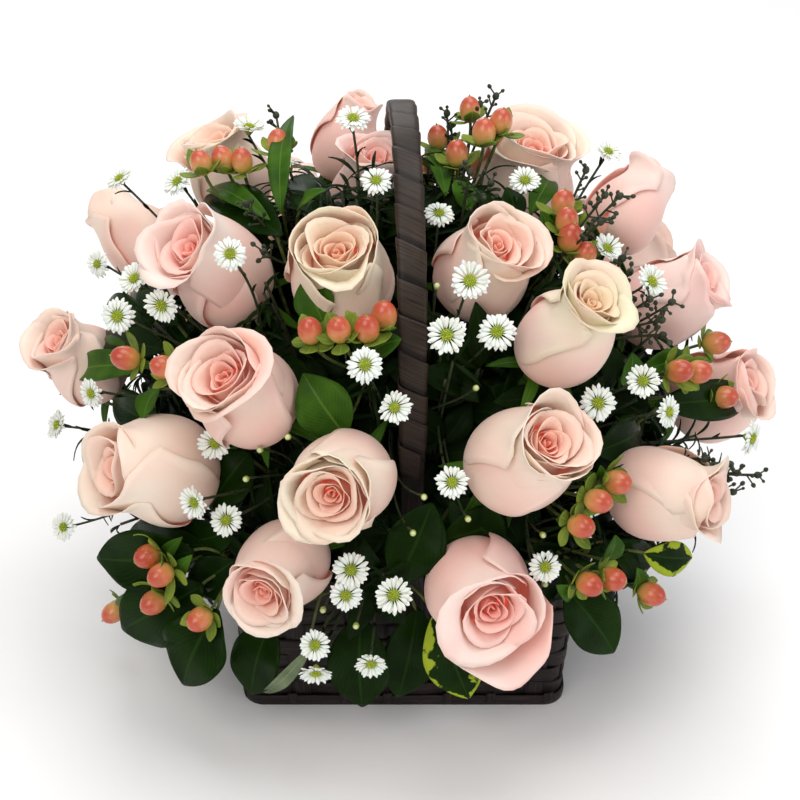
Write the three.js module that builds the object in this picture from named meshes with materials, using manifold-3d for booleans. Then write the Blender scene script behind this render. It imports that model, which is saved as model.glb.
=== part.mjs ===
// Flower basket arrangement: blush roses, coral hypericum berries, small white asters, dark bud twigs and glossy
// leaves, set in wet foam in a square basket woven from dark wood splints, with a bound hoop handle over the middle.
// Millimetres, +Z up, -Y towards the customer. The origin is the middle of the basket's underside, on the table.
import * as THREE from "three";
import { mergeVertices } from "three/addons/utils/BufferGeometryUtils.js";
import Module from "manifold-3d";

const wasm = await Module();
wasm.setup();

// ---------------------------------------------------------------- driving dimensions

const GAP = 0.35; // air left between two pieces that rest on each other

const BASE_WIDTH = 172; // outside of the basket at the table
const RIM_WIDTH = 186; // outside of the basket at its rim
const BASKET_HEIGHT = 88;
const CORNER_RADIUS = 10;
const SPLINT = 3; // thickness of the woven wall
const BASE_THICKNESS = 4;
const WEAVER_ROWS = 6; // flat splints woven one above the other round the wall
const WEAVER_RELIEF = 0.7; // how far each row bulges past the joint between rows
const RIM_BAND = { height: 12, thickness: 2.4 };
const FOOT_BAND = { height: 7, thickness: 1.8 };
const LINER = 0.8; // plastic film inside the wall
const LINER_LIP = 4; // how far the film stands above the rim
const FOAM = { width: 148, top: 116 };
const CORNER_STEPS = 3;

const HOOP_SECTION = { width: 13, thickness: 4 };
const HOOP_SEAT = 2 * GAP; // air between the rim band and the hoop, which leaves room for the hoop's turn
const HOOP_RADIUS = RIM_WIDTH / 2 + GAP + RIM_BAND.thickness + HOOP_SEAT + HOOP_SECTION.thickness / 2;
const HOOP_APEX = 306; // middle line of the hoop over the table
const HOOP_FOOT = 34; // height of each leg's lower end
const HOOP_TURN = THREE.MathUtils.degToRad(2.5); // the hoop stands slightly askew on the basket
const BINDING = 1.4; // splint wound round the hoop
const BINDING_END = 158; // height where the winding stops on each leg
const HOOP_STEPS = 36;
const BINDING_STEPS = 24;

const STEM = { rose: 2.4, berry: 1.5, aster: 1.1, twig: 1.1, leaf: 1.5, leafStalk: 1 }; // radii
const PEDICEL = 0.8; // radius of the thin stalk of one berry, aster, bud or leaf
const LEAF_THICKNESS = 0.8;
const ASTER = { radius: 9, cup: 3.6, edge: 0.4, top: 1.6, dish: 1 }; // heights are from the middle of the flower

// Profiles of a rose's head and of a berry, from the foot to the tip: [share of the half width, share of the half
// length].
const ROSE_PROFILE = [[0, -1.2], [0.62, -0.86], [0.98, -0.2], [1, 0.3], [0.84, 0.96], [0, 0.75]];
const ROSE_FOOT = -1.15; // where the stem meets the head, as a share of its half length
const ROSE_BEND = -2.1; // the stem runs straight on from the head as far as this
const BERRY = { radius: 5.8, length: 14, foot: 1 / 3, lean: 2, towards: 0.5, bend: 0.25 };
const BERRY_PROFILE = [[0, -1], [1, -0.2], [0.75, 0.6], [0, 1.1]];
const BLADE = { low: 0.9, lowAlong: 0.1, high: 1.5, highAlong: 0.7 }; // handles of a leaf's outline, as shares
const BLADE_LIFT = { foot: -6, tip: 4 }; // how much more a spray leaf's foot and tip stand off the dome
const BLADE_SEAT = 0.1; // how far a leaf's stalk runs into it, as a share of its length
const STALK_SPREAD = { leaf: 0.6, aster: 0.2, twig: 0.5, stem: 0.5 }; // where each kind of stalk bends
const OVER = 4; // how far a skirt leaf's stalk rises before it goes over the rim
const BUD_RADIUS = 2.3;

// How far down towards the dome's middle each kind of spray forks.
const FORK = { berry: 0.32, aster: 0.42, twig: 0.28 };

// The arrangement is laid out as a customer sees it. A place seen is a pixel of the 800 x 800 photograph, whose
// picture plane stands through AIM at arm's length from the eye.
const AIM = new THREE.Vector3(-2, 0, 142);
const EYE_DISTANCE = 1000;
const EYE_ELEVATION = THREE.MathUtils.degToRad(30);
const PIXEL = 0.55; // millimetres of the picture plane per pixel
const PICTURE_MIDDLE = 400;

// The flowers' heads lie on a dome, an ellipsoid round a point just above the foam.
const DOME_MIDDLE = new THREE.Vector3(0, 0, 105);
const DOME_RADII = new THREE.Vector3(172, 138, 165);

// Each stem ends in the foam, drawn in towards the middle from below its flower.
const ROSE_ROOT = 0.3;
const SPRAY_ROOT = 0.45;
const ROOT_LOW = 62; // height of the lowest root's ends
const ROOT_RISE = 0.2; // how much higher a root ends for each millimetre that its flower stands above ROOT_FROM
const ROOT_FROM = 75;

const COLOURS = {
  splint: 0x3a2f2c,
  binding: 0x4a3d38,
  liner: 0x2c3a30,
  foam: 0x3f6b3c,
  rose: 0xf0c4b2,
  berry: 0xe8795a,
  aster: 0xf4f5ee,
  twig: 0x39402f,
  leaf: 0x2c5226,
};

// ---------------------------------------------------------------- what grows where

// Roses that show: where the head's middle is seen, how far back it lies, which way it faces for the viewer
// (right, up, towards), its width and its length.
const FRONT_ROSES = [
  { seen: [347, 138], back: 108, face: [0.35, 0.8, 0.45], wide: 42, tall: 46 },
  { seen: [368, 190], back: 45, face: [0.22, 0.68, 0.7], wide: 50, tall: 50 },
  { seen: [228, 172], back: 66, face: [-0.35, 0.8, 0.5], wide: 50, tall: 44 },
  { seen: [136, 238], back: 46, face: [-0.6, 0.6, -0.2], wide: 46, tall: 50 },
  { seen: [217, 271], back: -38, face: [-0.5, 0.42, 0.75], wide: 58, tall: 56 },
  { seen: [341, 275], back: -62, face: [-0.08, 0.5, 0.85], wide: 58, tall: 48 },
  { seen: [82, 360], back: -5, face: [-0.5, 0.45, 0.65], wide: 50, tall: 46 },
  { seen: [243, 393], back: -100, face: [-0.35, 0.35, 0.85], wide: 57, tall: 54 },
  { seen: [158, 470], back: -92, face: [-0.78, 0.05, 0.6], wide: 62, tall: 54 },
  { seen: [343, 483], back: -133, face: [-0.22, -0.22, 0.95], wide: 54, tall: 52 },
  { seen: [281, 570], back: -130, face: [-0.35, -0.42, 0.85], wide: 51, tall: 52 },
  { seen: [481, 591], back: -138, face: [0.2, -0.3, 0.93], wide: 59, tall: 56 },
  { seen: [525, 456], back: -122, face: [0.42, 0.28, 0.85], wide: 59, tall: 58 },
  { seen: [664, 491], back: -95, face: [0.86, -0.12, 0.5], wide: 53, tall: 52 },
  { seen: [569, 330], back: -92, face: [0.4, 0.5, 0.77], wide: 51, tall: 58 },
  { seen: [484, 268], back: -46, face: [0.33, 0.5, 0.8], wide: 54, tall: 48 },
  { seen: [524, 177], back: 48, face: [0.25, 0.72, 0.65], wide: 64, tall: 46 },
  { seen: [628, 208], back: 52, face: [0.55, 0.7, -0.3], wide: 47, tall: 48 },
  { seen: [667, 300], back: -14, face: [0.76, 0.42, 0.5], wide: 50, tall: 52 },
  { seen: [715, 394], back: -8, face: [0.8, 0.25, 0.55], wide: 54, tall: 46 },
];

// Roses on the far side, by their place. They face straight out of the dome.
const BACK_ROSES = [
  { place: [-120, 82, 186], wide: 56, tall: 56 },
  { place: [-63, 114, 198], wide: 55, tall: 55 },
  { place: [15, 136, 168], wide: 58, tall: 56 },
  { place: [64, 114, 206], wide: 55, tall: 56 },
  { place: [120, 84, 178], wide: 57, tall: 56 },
  { place: [-46, 138, 116], wide: 57, tall: 55 },
];

// Berry sprays. Lean: which way the berries' tips point as seen, right and up. Berries: [across, down, lift over the
// dome]. Leaves: [foot, tip, width, lift].
const BERRY_SPRAYS = {
  crown_left: {
    lean: [-0.1, 0.8],
    berries: [[201, 163, 36], [223, 160, 30], [242, 161, 26], [278, 143, 26]],
    leaves: [[[281, 214], [292, 113], 13, 12], [[270, 220], [205, 188], 12, 12], [[297, 212], [327, 189], 10, 8]],
  },
  crown_right: {
    lean: [-0.1, 0.8],
    berries: [[438, 138, 12], [470, 110, 26], [501, 122, 34], [457, 154, 14], [484, 133, 28]],
    leaves: [[[446, 196], [427, 145], 12, 4], [[468, 212], [458, 178], 15, 0]],
  },
  shoulder_right: {
    lean: [0.1, 0.8],
    berries: [[563, 204, 14], [567, 221, 14], [570, 238, 10], [585, 255, 6]],
    leaves: [[[530, 214], [551, 177], 14, 8], [[548, 240], [541, 211], 13, 6]],
  },
  heart_left: {
    lean: [-0.05, 0.7],
    berries: [[310, 331, 22], [339, 330, 24], [367, 329, 22], [384, 316, 14]],
    leaves: [[[323, 323], [306, 277], 20, 12], [[372, 350], [401, 339], 13, 10], [[346, 436], [303, 374], 28, -4]],
  },
  side_left: {
    lean: [-0.8, 0.1],
    berries: [[126, 358, 20], [164, 367, 18]],
    leaves: [[[150, 366], [74, 373], 17, 8], [[152, 346], [106, 330], 14, 4], [[160, 386], [143, 420], 16, 6]],
  },
  skirt_left: {
    lean: [-0.65, -0.45],
    berries: [[148, 556, 18], [161, 575, 22], [154, 602, 20], [114, 612, 14], [200, 619, 18]],
    leaves: [[[165, 558], [181, 538], 8, 10], [[176, 577], [191, 556], 9, 12], [[126, 608], [131, 591], 7, 8]],
  },
  side_right: {
    lean: [0.8, -0.1],
    berries: [[679, 371, 16], [698, 372, 18], [724, 397, 14], [716, 343, 18]],
    leaves: [[[624, 386], [633, 353], 16, 6], [[640, 372], [688, 354], 13, 6]],
  },
  belly_right: {
    lean: [0.7, -0.25],
    berries: [[617, 482, 16], [598, 501, 20], [581, 526, 18]],
    leaves: [[[594, 488], [601, 466], 9, 10], [[576, 518], [557, 520], 10, 8]],
  },
  skirt_right: {
    lean: [0.8, -0.25],
    berries: [[589, 584, 16], [612, 579, 14], [651, 594, 14]],
    leaves: [[[603, 562], [616, 536], 14, 8], [[634, 590], [638, 569], 11, 8], [[577, 592], [557, 586], 10, 10]],
  },
};

// Aster sprays. Flowers: [across, down, lift, right, up], the last two saying which way the flower leans.
const ASTER_SPRAYS = {
  crown: [[353, 119, 44, 0.1, 0.65], [376, 181, 34, 0, 0.45], [249, 128, 22, 0.1, 0.85]],
  shoulder_left: [[120, 179, 30, -0.45, 0.65], [178, 182, 24, -0.5, 0.5], [98, 264, 30, -0.6, -0.15]],
  side_left: [[230, 254, 44, 0.1, 0.1], [135, 279, 24, -0.4, 0.4], [118, 316, 30, -0.3, -0.1],
    [162, 305, 26, -0.3, -0.4], [92, 393, 22, -0.6, -0.3]],
  heart: [[365, 365, 30, 0, 0.1], [394, 407, 16, 0.3, -0.2]],
  belly_left: [[215, 443, 4, -0.1, -0.1], [195, 502, 24, -0.6, -0.3], [226, 520, 12, 0, 0]],
  edge_left: [[64, 527, 16, -0.5, 0], [58, 425, 18, -0.75, 0.2]],
  skirt: [[351, 570, 14, 0, 0.1], [346, 595, 18, 0, -0.2], [394, 595, 16, -0.2, 0], [315, 645, 26, 0, 0],
    [316, 672, 22, 0, -0.8], [371, 663, 20, 0.1, -0.6]],
  belly_right: [[470, 281, 30, 0, 0.1], [447, 335, 22, -0.1, 0], [497, 332, 24, 0, 0.1], [439, 214, 6, 0, 0.6],
    [452, 482, 16, 0, 0]],
  shoulder_right: [[525, 181, 14, 0, 0.5], [608, 152, 34, 0.3, 0.62], [607, 249, 12, 0.4, 0.5],
    [651, 282, 34, 0.6, 0.3]],
  side_right: [[643, 381, 26, 0, 0], [598, 403, 20, 0.1, 0], [668, 412, 20, 0.7, -0.1],
    [751, 438, 26, 0.8, -0.3]],
};

// Dark bud twigs: [across, down, lift] of each bud.
const TWIGS = {
  crown: [[496, 96, 44], [480, 104, 32], [447, 113, 24], [451, 125, 22]],
  side_right: [[620, 196, 40], [605, 195, 38], [601, 222, 34], [586, 170, 34]],
};

// Leafy stems that spread over the rim, by the place where they fork. Leaves: [foot, tip, width].
const LEAFY_STEMS = {
  skirt_left: {
    fork: [-86, -100, 100],
    leaves: [[[-106, -108, 116], [-158, -98, 104], 36], [[-104, -116, 98], [-150, -112, 64], 38],
      [[-94, -122, 90], [-114, -130, 48], 38]],
  },
  skirt_front: {
    fork: [-6, -104, 96],
    leaves: [[[-68, -116, 78], [-80, -122, 35], 30], [[-22, -114, 80], [-22, -124, 28], 33],
      [[16, -114, 82], [34, -122, 32], 30], [[7, -106, 80], [-3, -114, 26], 28]],
  },
  skirt_right: {
    fork: [84, -96, 98],
    leaves: [[[82, -118, 100], [108, -124, 64], 30], [[122, -104, 112], [149, -94, 102], 19],
      [[106, -100, 116], [119, -108, 98], 14]],
  },
  skirt_back_left: {
    fork: [-90, 100, 98],
    leaves: [[[-110, 104, 104], [-150, 96, 82], 36], [[-84, 122, 82], [-92, 132, 34], 36],
      [[-116, 110, 82], [-140, 116, 40], 34], [[-32, 116, 72], [-34, 126, 22], 30]],
  },
  skirt_back_right: {
    fork: [70, 104, 98],
    leaves: [[[92, 118, 90], [108, 132, 44], 36], [[54, 122, 92], [58, 136, 46], 34],
      [[128, 96, 98], [160, 84, 70], 36], [[24, 116, 78], [20, 130, 28], 32]],
  },
};

// ---------------------------------------------------------------- the viewer and the dome

const viewRight = new THREE.Vector3(1, 0, 0);
const viewUp = new THREE.Vector3(0, Math.sin(EYE_ELEVATION), Math.cos(EYE_ELEVATION));
const viewTowards = new THREE.Vector3(0, -Math.cos(EYE_ELEVATION), Math.sin(EYE_ELEVATION));
const eye = AIM.clone().addScaledVector(viewTowards, EYE_DISTANCE);

const vector = ([x, y, z]) => new THREE.Vector3(x, y, z);

const mix = (a, b, share) => a.clone().lerp(b, share);

// A direction given as the viewer sees it.
const seenDirection = ([right, up, towards]) =>
  new THREE.Vector3()
    .addScaledVector(viewRight, right)
    .addScaledVector(viewUp, up)
    .addScaledVector(viewTowards, towards)
    .normalize();

// The line of sight through a pixel.
const sight = ([across, down]) =>
  seenDirection([(across - PICTURE_MIDDLE) * PIXEL, (PICTURE_MIDDLE - down) * PIXEL, -EYE_DISTANCE]);

// The point on a line of sight that lies a given way back, along Y.
function atDepth(seen, back) {
  const line = sight(seen);
  return eye.clone().addScaledVector(line, (back - eye.y) / line.y);
}

// The point where a line of sight meets the dome, or passes it closest.
function onDome([across, down, lift]) {
  const radii = DOME_RADII.clone().addScalar(lift);
  const from = eye.clone().sub(DOME_MIDDLE).divide(radii);
  const line = sight([across, down]);
  const scaled = line.clone().divide(radii);
  const half = from.dot(scaled) / scaled.lengthSq();
  const inside = half * half - (from.lengthSq() - 1) / scaled.lengthSq();
  return eye.clone().addScaledVector(line, -half - Math.sqrt(Math.max(0, inside)));
}

const outward = (point) => point.clone().sub(DOME_MIDDLE).divide(DOME_RADII).divide(DOME_RADII).normalize();

const rootOf = (point, share) =>
  new THREE.Vector3(share * point.x, share * point.y, ROOT_LOW + ROOT_RISE * (point.z - ROOT_FROM));

// ---------------------------------------------------------------- solids

// A three.js geometry as a solid: only its shared corner points matter.
function solidOf(geometry) {
  const bare = geometry.clone();
  bare.deleteAttribute("normal");
  bare.deleteAttribute("uv");
  const merged = mergeVertices(bare, 1e-4);
  return new wasm.Manifold(
    new wasm.Mesh({
      numProp: 3,
      vertProperties: new Float32Array(merged.attributes.position.array),
      triVerts: new Uint32Array(merged.index.array),
    }),
  );
}

// A solid as a three.js geometry.
function geometryOf(solid) {
  const mesh = solid.getMesh();
  const corners = new Float32Array(mesh.numVert * 3);
  for (let i = 0; i < mesh.numVert; i++)
    corners.set(mesh.vertProperties.subarray(i * mesh.numProp, i * mesh.numProp + 3), i * 3);
  const geometry = new THREE.BufferGeometry();
  geometry.setAttribute("position", new THREE.BufferAttribute(corners, 3));
  geometry.setIndex(new THREE.BufferAttribute(new Uint32Array(mesh.triVerts), 1));
  return geometry;
}

const join = (solids) => solids.reduce((all, one) => all.add(one));

function polygon(radius, sides) {
  const corner = (i) => [radius * Math.cos((2 * Math.PI * i) / sides), radius * Math.sin((2 * Math.PI * i) / sides)];
  return new THREE.Shape(Array.from({ length: sides }, (_, i) => new THREE.Vector2(...corner(i))));
}

const sweep = (path, section, steps) => solidOf(new THREE.ExtrudeGeometry(section, { extrudePath: path, steps }));

// A stalk from one point to another that leaves along the line to a third. A grown one is longer at its lower end.
function stalk(from, bend, to, radius, grow, sides, steps) {
  const start = from.clone().add(from.clone().sub(bend).setLength(2 * grow));
  return sweep(new THREE.QuadraticBezierCurve3(start, bend, to), polygon(radius + grow, sides), steps);
}

// A turned shape: profile points are [radius, height], and the axis is laid along a direction through a point.
function turned(profile, sides, point, direction) {
  const lathe = new THREE.LatheGeometry(profile.map(([r, h]) => new THREE.Vector2(r, h)), sides);
  const turn = new THREE.Quaternion().setFromUnitVectors(new THREE.Vector3(0, 1, 0), direction);
  lathe.applyQuaternion(turn);
  lathe.translate(point.x, point.y, point.z);
  return solidOf(lathe);
}

// A leaf blade from foot to tip, arched, its upper face towards `up`.
function blade(foot, tip, width, up, grow) {
  const length = foot.distanceTo(tip) + 2 * grow;
  const half = width / 2 + grow;
  const thick = LEAF_THICKNESS + 2 * grow;
  const outline = new THREE.Shape();
  outline.moveTo(0, 0);
  const [low, lowAlong] = [half * BLADE.low, length * BLADE.lowAlong];
  const [high, highAlong] = [half * BLADE.high, length * BLADE.highAlong];
  outline.bezierCurveTo(low, lowAlong, high, highAlong, 0, length);
  outline.bezierCurveTo(-high, highAlong, -low, lowAlong, 0, 0);
  const plate = new THREE.ExtrudeGeometry(outline, { depth: thick, bevelEnabled: false, curveSegments: 4 });
  plate.translate(0, -grow, -thick / 2);
  const along = tip.clone().sub(foot).normalize();
  const side = along.clone().cross(up).normalize();
  plate.applyMatrix4(new THREE.Matrix4().makeBasis(side, along, side.clone().cross(along)));
  plate.translate(foot.x, foot.y, foot.z);
  return solidOf(plate);
}

// ---------------------------------------------------------------- the basket

const widthAt = (height) => BASE_WIDTH + ((RIM_WIDTH - BASE_WIDTH) * height) / BASKET_HEIGHT;

// One turn of a square with rounded corners, at a height.
function roundedSquare(width, height) {
  const inset = width / 2 - CORNER_RADIUS;
  const points = [];
  for (let corner = 0; corner < 4; corner++)
    for (let i = 0; i <= CORNER_STEPS; i++) {
      const angle = (Math.PI / 2) * (corner + i / CORNER_STEPS);
      const middle = (Math.PI / 2) * (corner + 0.5);
      const x = Math.SQRT2 * inset * Math.cos(middle) + CORNER_RADIUS * Math.cos(angle);
      const y = Math.SQRT2 * inset * Math.sin(middle) + CORNER_RADIUS * Math.sin(angle);
      points.push([x, y, height]);
    }
  return points;
}

// A solid through a stack of turns. An endless one joins its last turn to its first, and any other is capped.
function loft(turns, endless) {
  const count = turns[0].length;
  const corners = turns.flat(2);
  const faces = [];
  for (let t = 0; t < turns.length - (endless ? 0 : 1); t++)
    for (let i = 0; i < count; i++) {
      const a = t * count + i;
      const b = t * count + ((i + 1) % count);
      const c = ((t + 1) % turns.length) * count + i;
      const d = ((t + 1) % turns.length) * count + ((i + 1) % count);
      faces.push(a, b, d, a, d, c);
    }
  if (!endless) {
    const last = (turns.length - 1) * count;
    for (let i = 1; i < count - 1; i++) faces.push(0, i + 1, i, last, last + i, last + i + 1);
  }
  const geometry = new THREE.BufferGeometry();
  geometry.setAttribute("position", new THREE.BufferAttribute(new Float32Array(corners), 3));
  geometry.setIndex(faces);
  return solidOf(geometry);
}

// A ring round the basket: profile points are [distance outside the wall's face, height], counter-clockwise.
const wallRing = (profile) => loft(profile.map(([out, height]) => roundedSquare(widthAt(height) + 2 * out, height)), true);

function wovenWall() {
  const low = BASE_THICKNESS + GAP;
  const row = (BASKET_HEIGHT - low) / WEAVER_ROWS;
  const profile = [[-SPLINT, BASKET_HEIGHT], [-SPLINT, low]];
  for (let i = 0; i < WEAVER_ROWS; i++) profile.push([-WEAVER_RELIEF, low + row * i], [0, low + row * (i + 0.5)]);
  profile.push([-WEAVER_RELIEF, BASKET_HEIGHT]);
  return wallRing(profile);
}

const wovenBase = () => loft([roundedSquare(BASE_WIDTH, 0), roundedSquare(widthAt(BASE_THICKNESS), BASE_THICKNESS)], false);

function band({ height, thickness }, low) {
  const inner = GAP;
  const outer = GAP + thickness;
  return wallRing([[inner, low + height], [inner, low], [outer, low], [outer, low + height]]);
}

function liner() {
  const face = -SPLINT - GAP;
  const floor = BASE_THICKNESS + GAP;
  const top = BASKET_HEIGHT + LINER_LIP;
  const turn = (out, height) => roundedSquare(widthAt(height) + 2 * out, height);
  return loft(
    [turn(face - LINER, floor + LINER), turn(face - LINER, top), turn(face, top), turn(face, floor)].reverse(),
    false,
  );
}

const foamBottom = BASE_THICKNESS + 2 * GAP + LINER;

function foamBlock() {
  const block = new THREE.BoxGeometry(FOAM.width, FOAM.width, FOAM.top - foamBottom);
  block.translate(0, 0, (FOAM.top + foamBottom) / 2);
  return solidOf(block);
}

// ---------------------------------------------------------------- the handle

const WALL_LEAN = (RIM_WIDTH - BASE_WIDTH) / 2 / BASKET_HEIGHT;

// Half a circle over two legs that stand upright down to the rim and lean in with the wall below it, as one line.
// `low` is the height of its ends.
class HoopLine extends THREE.Curve {
  constructor(low) {
    super();
    this.low = low;
    this.leg = HOOP_APEX - HOOP_RADIUS - low;
    this.length = 2 * this.leg + Math.PI * HOOP_RADIUS;
  }

  getPoint(t) {
    const along = Math.min(t, 1 - t) * this.length;
    const side = t < 0.5 ? -1 : 1;
    const height = this.low + along;
    const lean = WALL_LEAN * Math.max(0, BASKET_HEIGHT - height);
    if (along < this.leg) return new THREE.Vector3(0, side * (HOOP_RADIUS - lean), height);
    const angle = (along - this.leg) / HOOP_RADIUS;
    const top = this.low + this.leg;
    return new THREE.Vector3(0, side * HOOP_RADIUS * Math.cos(angle), top + HOOP_RADIUS * Math.sin(angle));
  }

  // A section's first side lies in the hoop's own plane, and its second side along X.
  computeFrenetFrames(steps) {
    const tangents = Array.from({ length: steps + 1 }, (_, i) => this.getTangentAt(i / steps));
    const binormals = tangents.map(() => new THREE.Vector3(1, 0, 0));
    const normals = tangents.map((tangent, i) => binormals[i].clone().cross(tangent));
    return { tangents, normals, binormals };
  }
}

// The hoop's flat section lies across the basket, so its wide side faces the customer.
function hoop(low, grow, steps) {
  const across = HOOP_SECTION.width / 2 + grow;
  const through = HOOP_SECTION.thickness / 2 + grow;
  const corners = [[-through, -across], [through, -across], [through, across], [-through, across]];
  const section = new THREE.Shape(corners.map(([x, y]) => new THREE.Vector2(x, y)));
  const flat = new THREE.ExtrudeGeometry(section, { extrudePath: new HoopLine(low), steps });
  flat.rotateZ(HOOP_TURN);
  return solidOf(flat);
}

const hoopWood = (grow) => hoop(HOOP_FOOT, grow, HOOP_STEPS);
const hoopSleeve = (grow) => hoop(BINDING_END, BINDING + GAP + grow, BINDING_STEPS);
const hoopBinding = (grow) => hoopSleeve(grow).subtract(hoopWood(GAP - grow));

// ---------------------------------------------------------------- the flowers

// A rose with its stem: a full, slightly open head, the hip under it and a stem down into the foam.
function rose({ centre, axis, wide, tall }, grow) {
  const r = wide / 2 + grow;
  const h = tall / 2 + grow;
  const profile = ROSE_PROFILE.map(([out, up]) => [out * r, up * h]);
  const head = turned(profile, 9, centre, axis);
  const foot = centre.clone().addScaledVector(axis, ROSE_FOOT * h);
  const bend = centre.clone().addScaledVector(axis, ROSE_BEND * h);
  return head.add(stalk(rootOf(centre, ROSE_ROOT), bend, foot, STEM.rose, grow, 5, 3));
}

// The stem of a spray, from the foam up to where it forks.
function mainStem(middle, fork, radius, grow) {
  const root = rootOf(middle, SPRAY_ROOT);
  return stalk(root, mix(root, fork, STALK_SPREAD.stem), fork, radius, grow, 4, 1);
}

// One egg-shaped berry.
function berry(point, direction, grow) {
  const r = BERRY.radius + grow;
  const h = BERRY.length / 2 + grow;
  return turned(BERRY_PROFILE.map(([out, up]) => [out * r, up * h]), 5, point, direction);
}

function berrySpray({ lean: [right, up], berries, leaves }, grow) {
  const places = berries.map(onDome);
  const middle = places.reduce((sum, p) => sum.add(p), new THREE.Vector3()).divideScalar(places.length);
  const fork = mix(middle, DOME_MIDDLE, FORK.berry);
  const solids = [mainStem(middle, fork, STEM.berry, grow)];
  for (const place of places) {
    const direction = place.clone().sub(fork).normalize();
    direction.addScaledVector(seenDirection([right, up, BERRY.towards]), BERRY.lean).normalize();
    const foot = place.clone().addScaledVector(direction, -BERRY.length * BERRY.foot);
    const bend = foot.clone().addScaledVector(direction, -BERRY.bend * foot.distanceTo(fork));
    solids.push(berry(place, direction, grow), stalk(fork, bend, foot, PEDICEL, grow, 4, 3));
  }
  for (const [foot, tip, width, lift] of leaves) {
    const from = onDome([...foot, lift + BLADE_LIFT.foot]);
    const to = onDome([...tip, lift + BLADE_LIFT.tip]);
    const seat = mix(from, to, BLADE_SEAT);
    solids.push(blade(from, to, width, outward(from), grow));
    solids.push(stalk(fork, mix(fork, from, STALK_SPREAD.leaf), seat, PEDICEL, grow, 4, 2));
  }
  return join(solids);
}

// One aster: a shallow white saucer on its green cup.
function aster(point, direction, grow) {
  const r = ASTER.radius + grow;
  const profile = [[0, -ASTER.cup - grow], [r, ASTER.edge - grow], [r, ASTER.top + grow], [0, ASTER.dish + grow]];
  return turned(profile, 7, point, direction);
}

function asterSpray(flowers, grow) {
  const places = flowers.map(([across, down, lift]) => onDome([across, down, lift]));
  const middle = places.reduce((sum, p) => sum.add(p), new THREE.Vector3()).divideScalar(places.length);
  const fork = mix(middle, DOME_MIDDLE, FORK.aster);
  const solids = [mainStem(middle, fork, STEM.aster, grow)];
  flowers.forEach(([, , , right, up], i) => {
    const direction = seenDirection([right, up, Math.sqrt(Math.max(0, 1 - right * right - up * up))]);
    const foot = places[i].clone().addScaledVector(direction, -ASTER.cup / 2);
    solids.push(aster(places[i], direction, grow));
    solids.push(stalk(fork, mix(places[i], DOME_MIDDLE, STALK_SPREAD.aster), foot, PEDICEL, grow, 4, 2));
  });
  return join(solids);
}

function budTwig(buds, grow) {
  const places = buds.map(onDome);
  const middle = places.reduce((sum, p) => sum.add(p), new THREE.Vector3()).divideScalar(places.length);
  const fork = mix(middle, DOME_MIDDLE, FORK.twig);
  const solids = [mainStem(middle, fork, STEM.twig, grow)];
  for (const place of places) {
    const direction = place.clone().sub(fork).normalize();
    const r = BUD_RADIUS + grow;
    solids.push(turned([[0, -r], [r, 0.2 * r], [0, r]], 6, place, direction));
    solids.push(stalk(fork, mix(fork, place, STALK_SPREAD.twig), place, PEDICEL, grow, 4, 1));
  }
  return join(solids);
}

function leafyStem({ fork, leaves }, grow) {
  const top = vector(fork);
  const root = rootOf(top, SPRAY_ROOT);
  const solids = [stalk(root, mix(root, top, STALK_SPREAD.stem).setZ(FOAM.top), top, STEM.leaf, grow, 4, 3)];
  for (const [foot, tip, width] of leaves) {
    const from = vector(foot);
    const to = vector(tip);
    solids.push(blade(from, to, width, from.clone().setZ(0).normalize(), grow));
    const over = mix(top, from, STALK_SPREAD.stem).setZ(Math.max(top.z, from.z) + OVER);
    solids.push(stalk(top, over, mix(from, to, BLADE_SEAT), STEM.leafStalk, grow, 4, 3));
  }
  return join(solids);
}

// ---------------------------------------------------------------- putting it together

const arrangement = new THREE.Group();
const placed = [];

// Adds a piece. It gives way to the pieces that were there before it: `make(grow)` builds it grown all round, and
// each later piece is cut clear of the grown copy of each earlier one.
function place(name, colour, roughness, make) {
  let solid = make(0);
  const box = solid.boundingBox();
  const near = (other) => [0, 1, 2].every((i) => box.min[i] < other.max[i] && box.max[i] > other.min[i]);
  for (const other of placed) if (near(other.box)) solid = solid.subtract(other.room);
  const whole = solid.decompose().sort((a, b) => b.volume() - a.volume())[0];
  const mesh = new THREE.Mesh(geometryOf(whole), new THREE.MeshStandardMaterial({ color: colour, roughness }));
  mesh.name = name;
  arrangement.add(mesh);
  const room = make(GAP);
  placed.push({ box: room.boundingBox(), room });
}

place("basket_base", COLOURS.splint, 0.7, wovenBase);
place("basket_wall", COLOURS.splint, 0.7, wovenWall);
place("basket_rim_band", COLOURS.splint, 0.7, () => band(RIM_BAND, BASKET_HEIGHT - RIM_BAND.height));
place("basket_foot_band", COLOURS.splint, 0.7, () => band(FOOT_BAND, 0));
place("liner", COLOURS.liner, 0.4, liner);
place("handle_hoop", COLOURS.splint, 0.7, hoopWood);
place("handle_binding", COLOURS.binding, 0.7, hoopBinding);

const roses = [
  ...FRONT_ROSES.map((r) => ({ ...r, centre: atDepth(r.seen, r.back), axis: seenDirection(r.face) })),
  ...BACK_ROSES.map((r) => ({ ...r, centre: vector(r.place), axis: outward(vector(r.place)) })),
];
roses.forEach((spec, i) => {
  const name = "rose_" + String(i + 1).padStart(2, "0");
  place(name, COLOURS.rose, 0.6, (grow) => rose(spec, grow));
});
for (const [name, spec] of Object.entries(TWIGS))
  place("bud_twig_" + name, COLOURS.twig, 0.8, (grow) => budTwig(spec, grow));
for (const [name, spec] of Object.entries(BERRY_SPRAYS))
  place("berries_" + name, COLOURS.berry, 0.35, (grow) => berrySpray(spec, grow));
for (const [name, spec] of Object.entries(ASTER_SPRAYS))
  place("asters_" + name, COLOURS.aster, 0.7, (grow) => asterSpray(spec, grow));
for (const [name, spec] of Object.entries(LEAFY_STEMS))
  place("leaves_" + name, COLOURS.leaf, 0.35, (grow) => leafyStem(spec, grow));
place("floral_foam", COLOURS.foam, 0.9, foamBlock);

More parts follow.
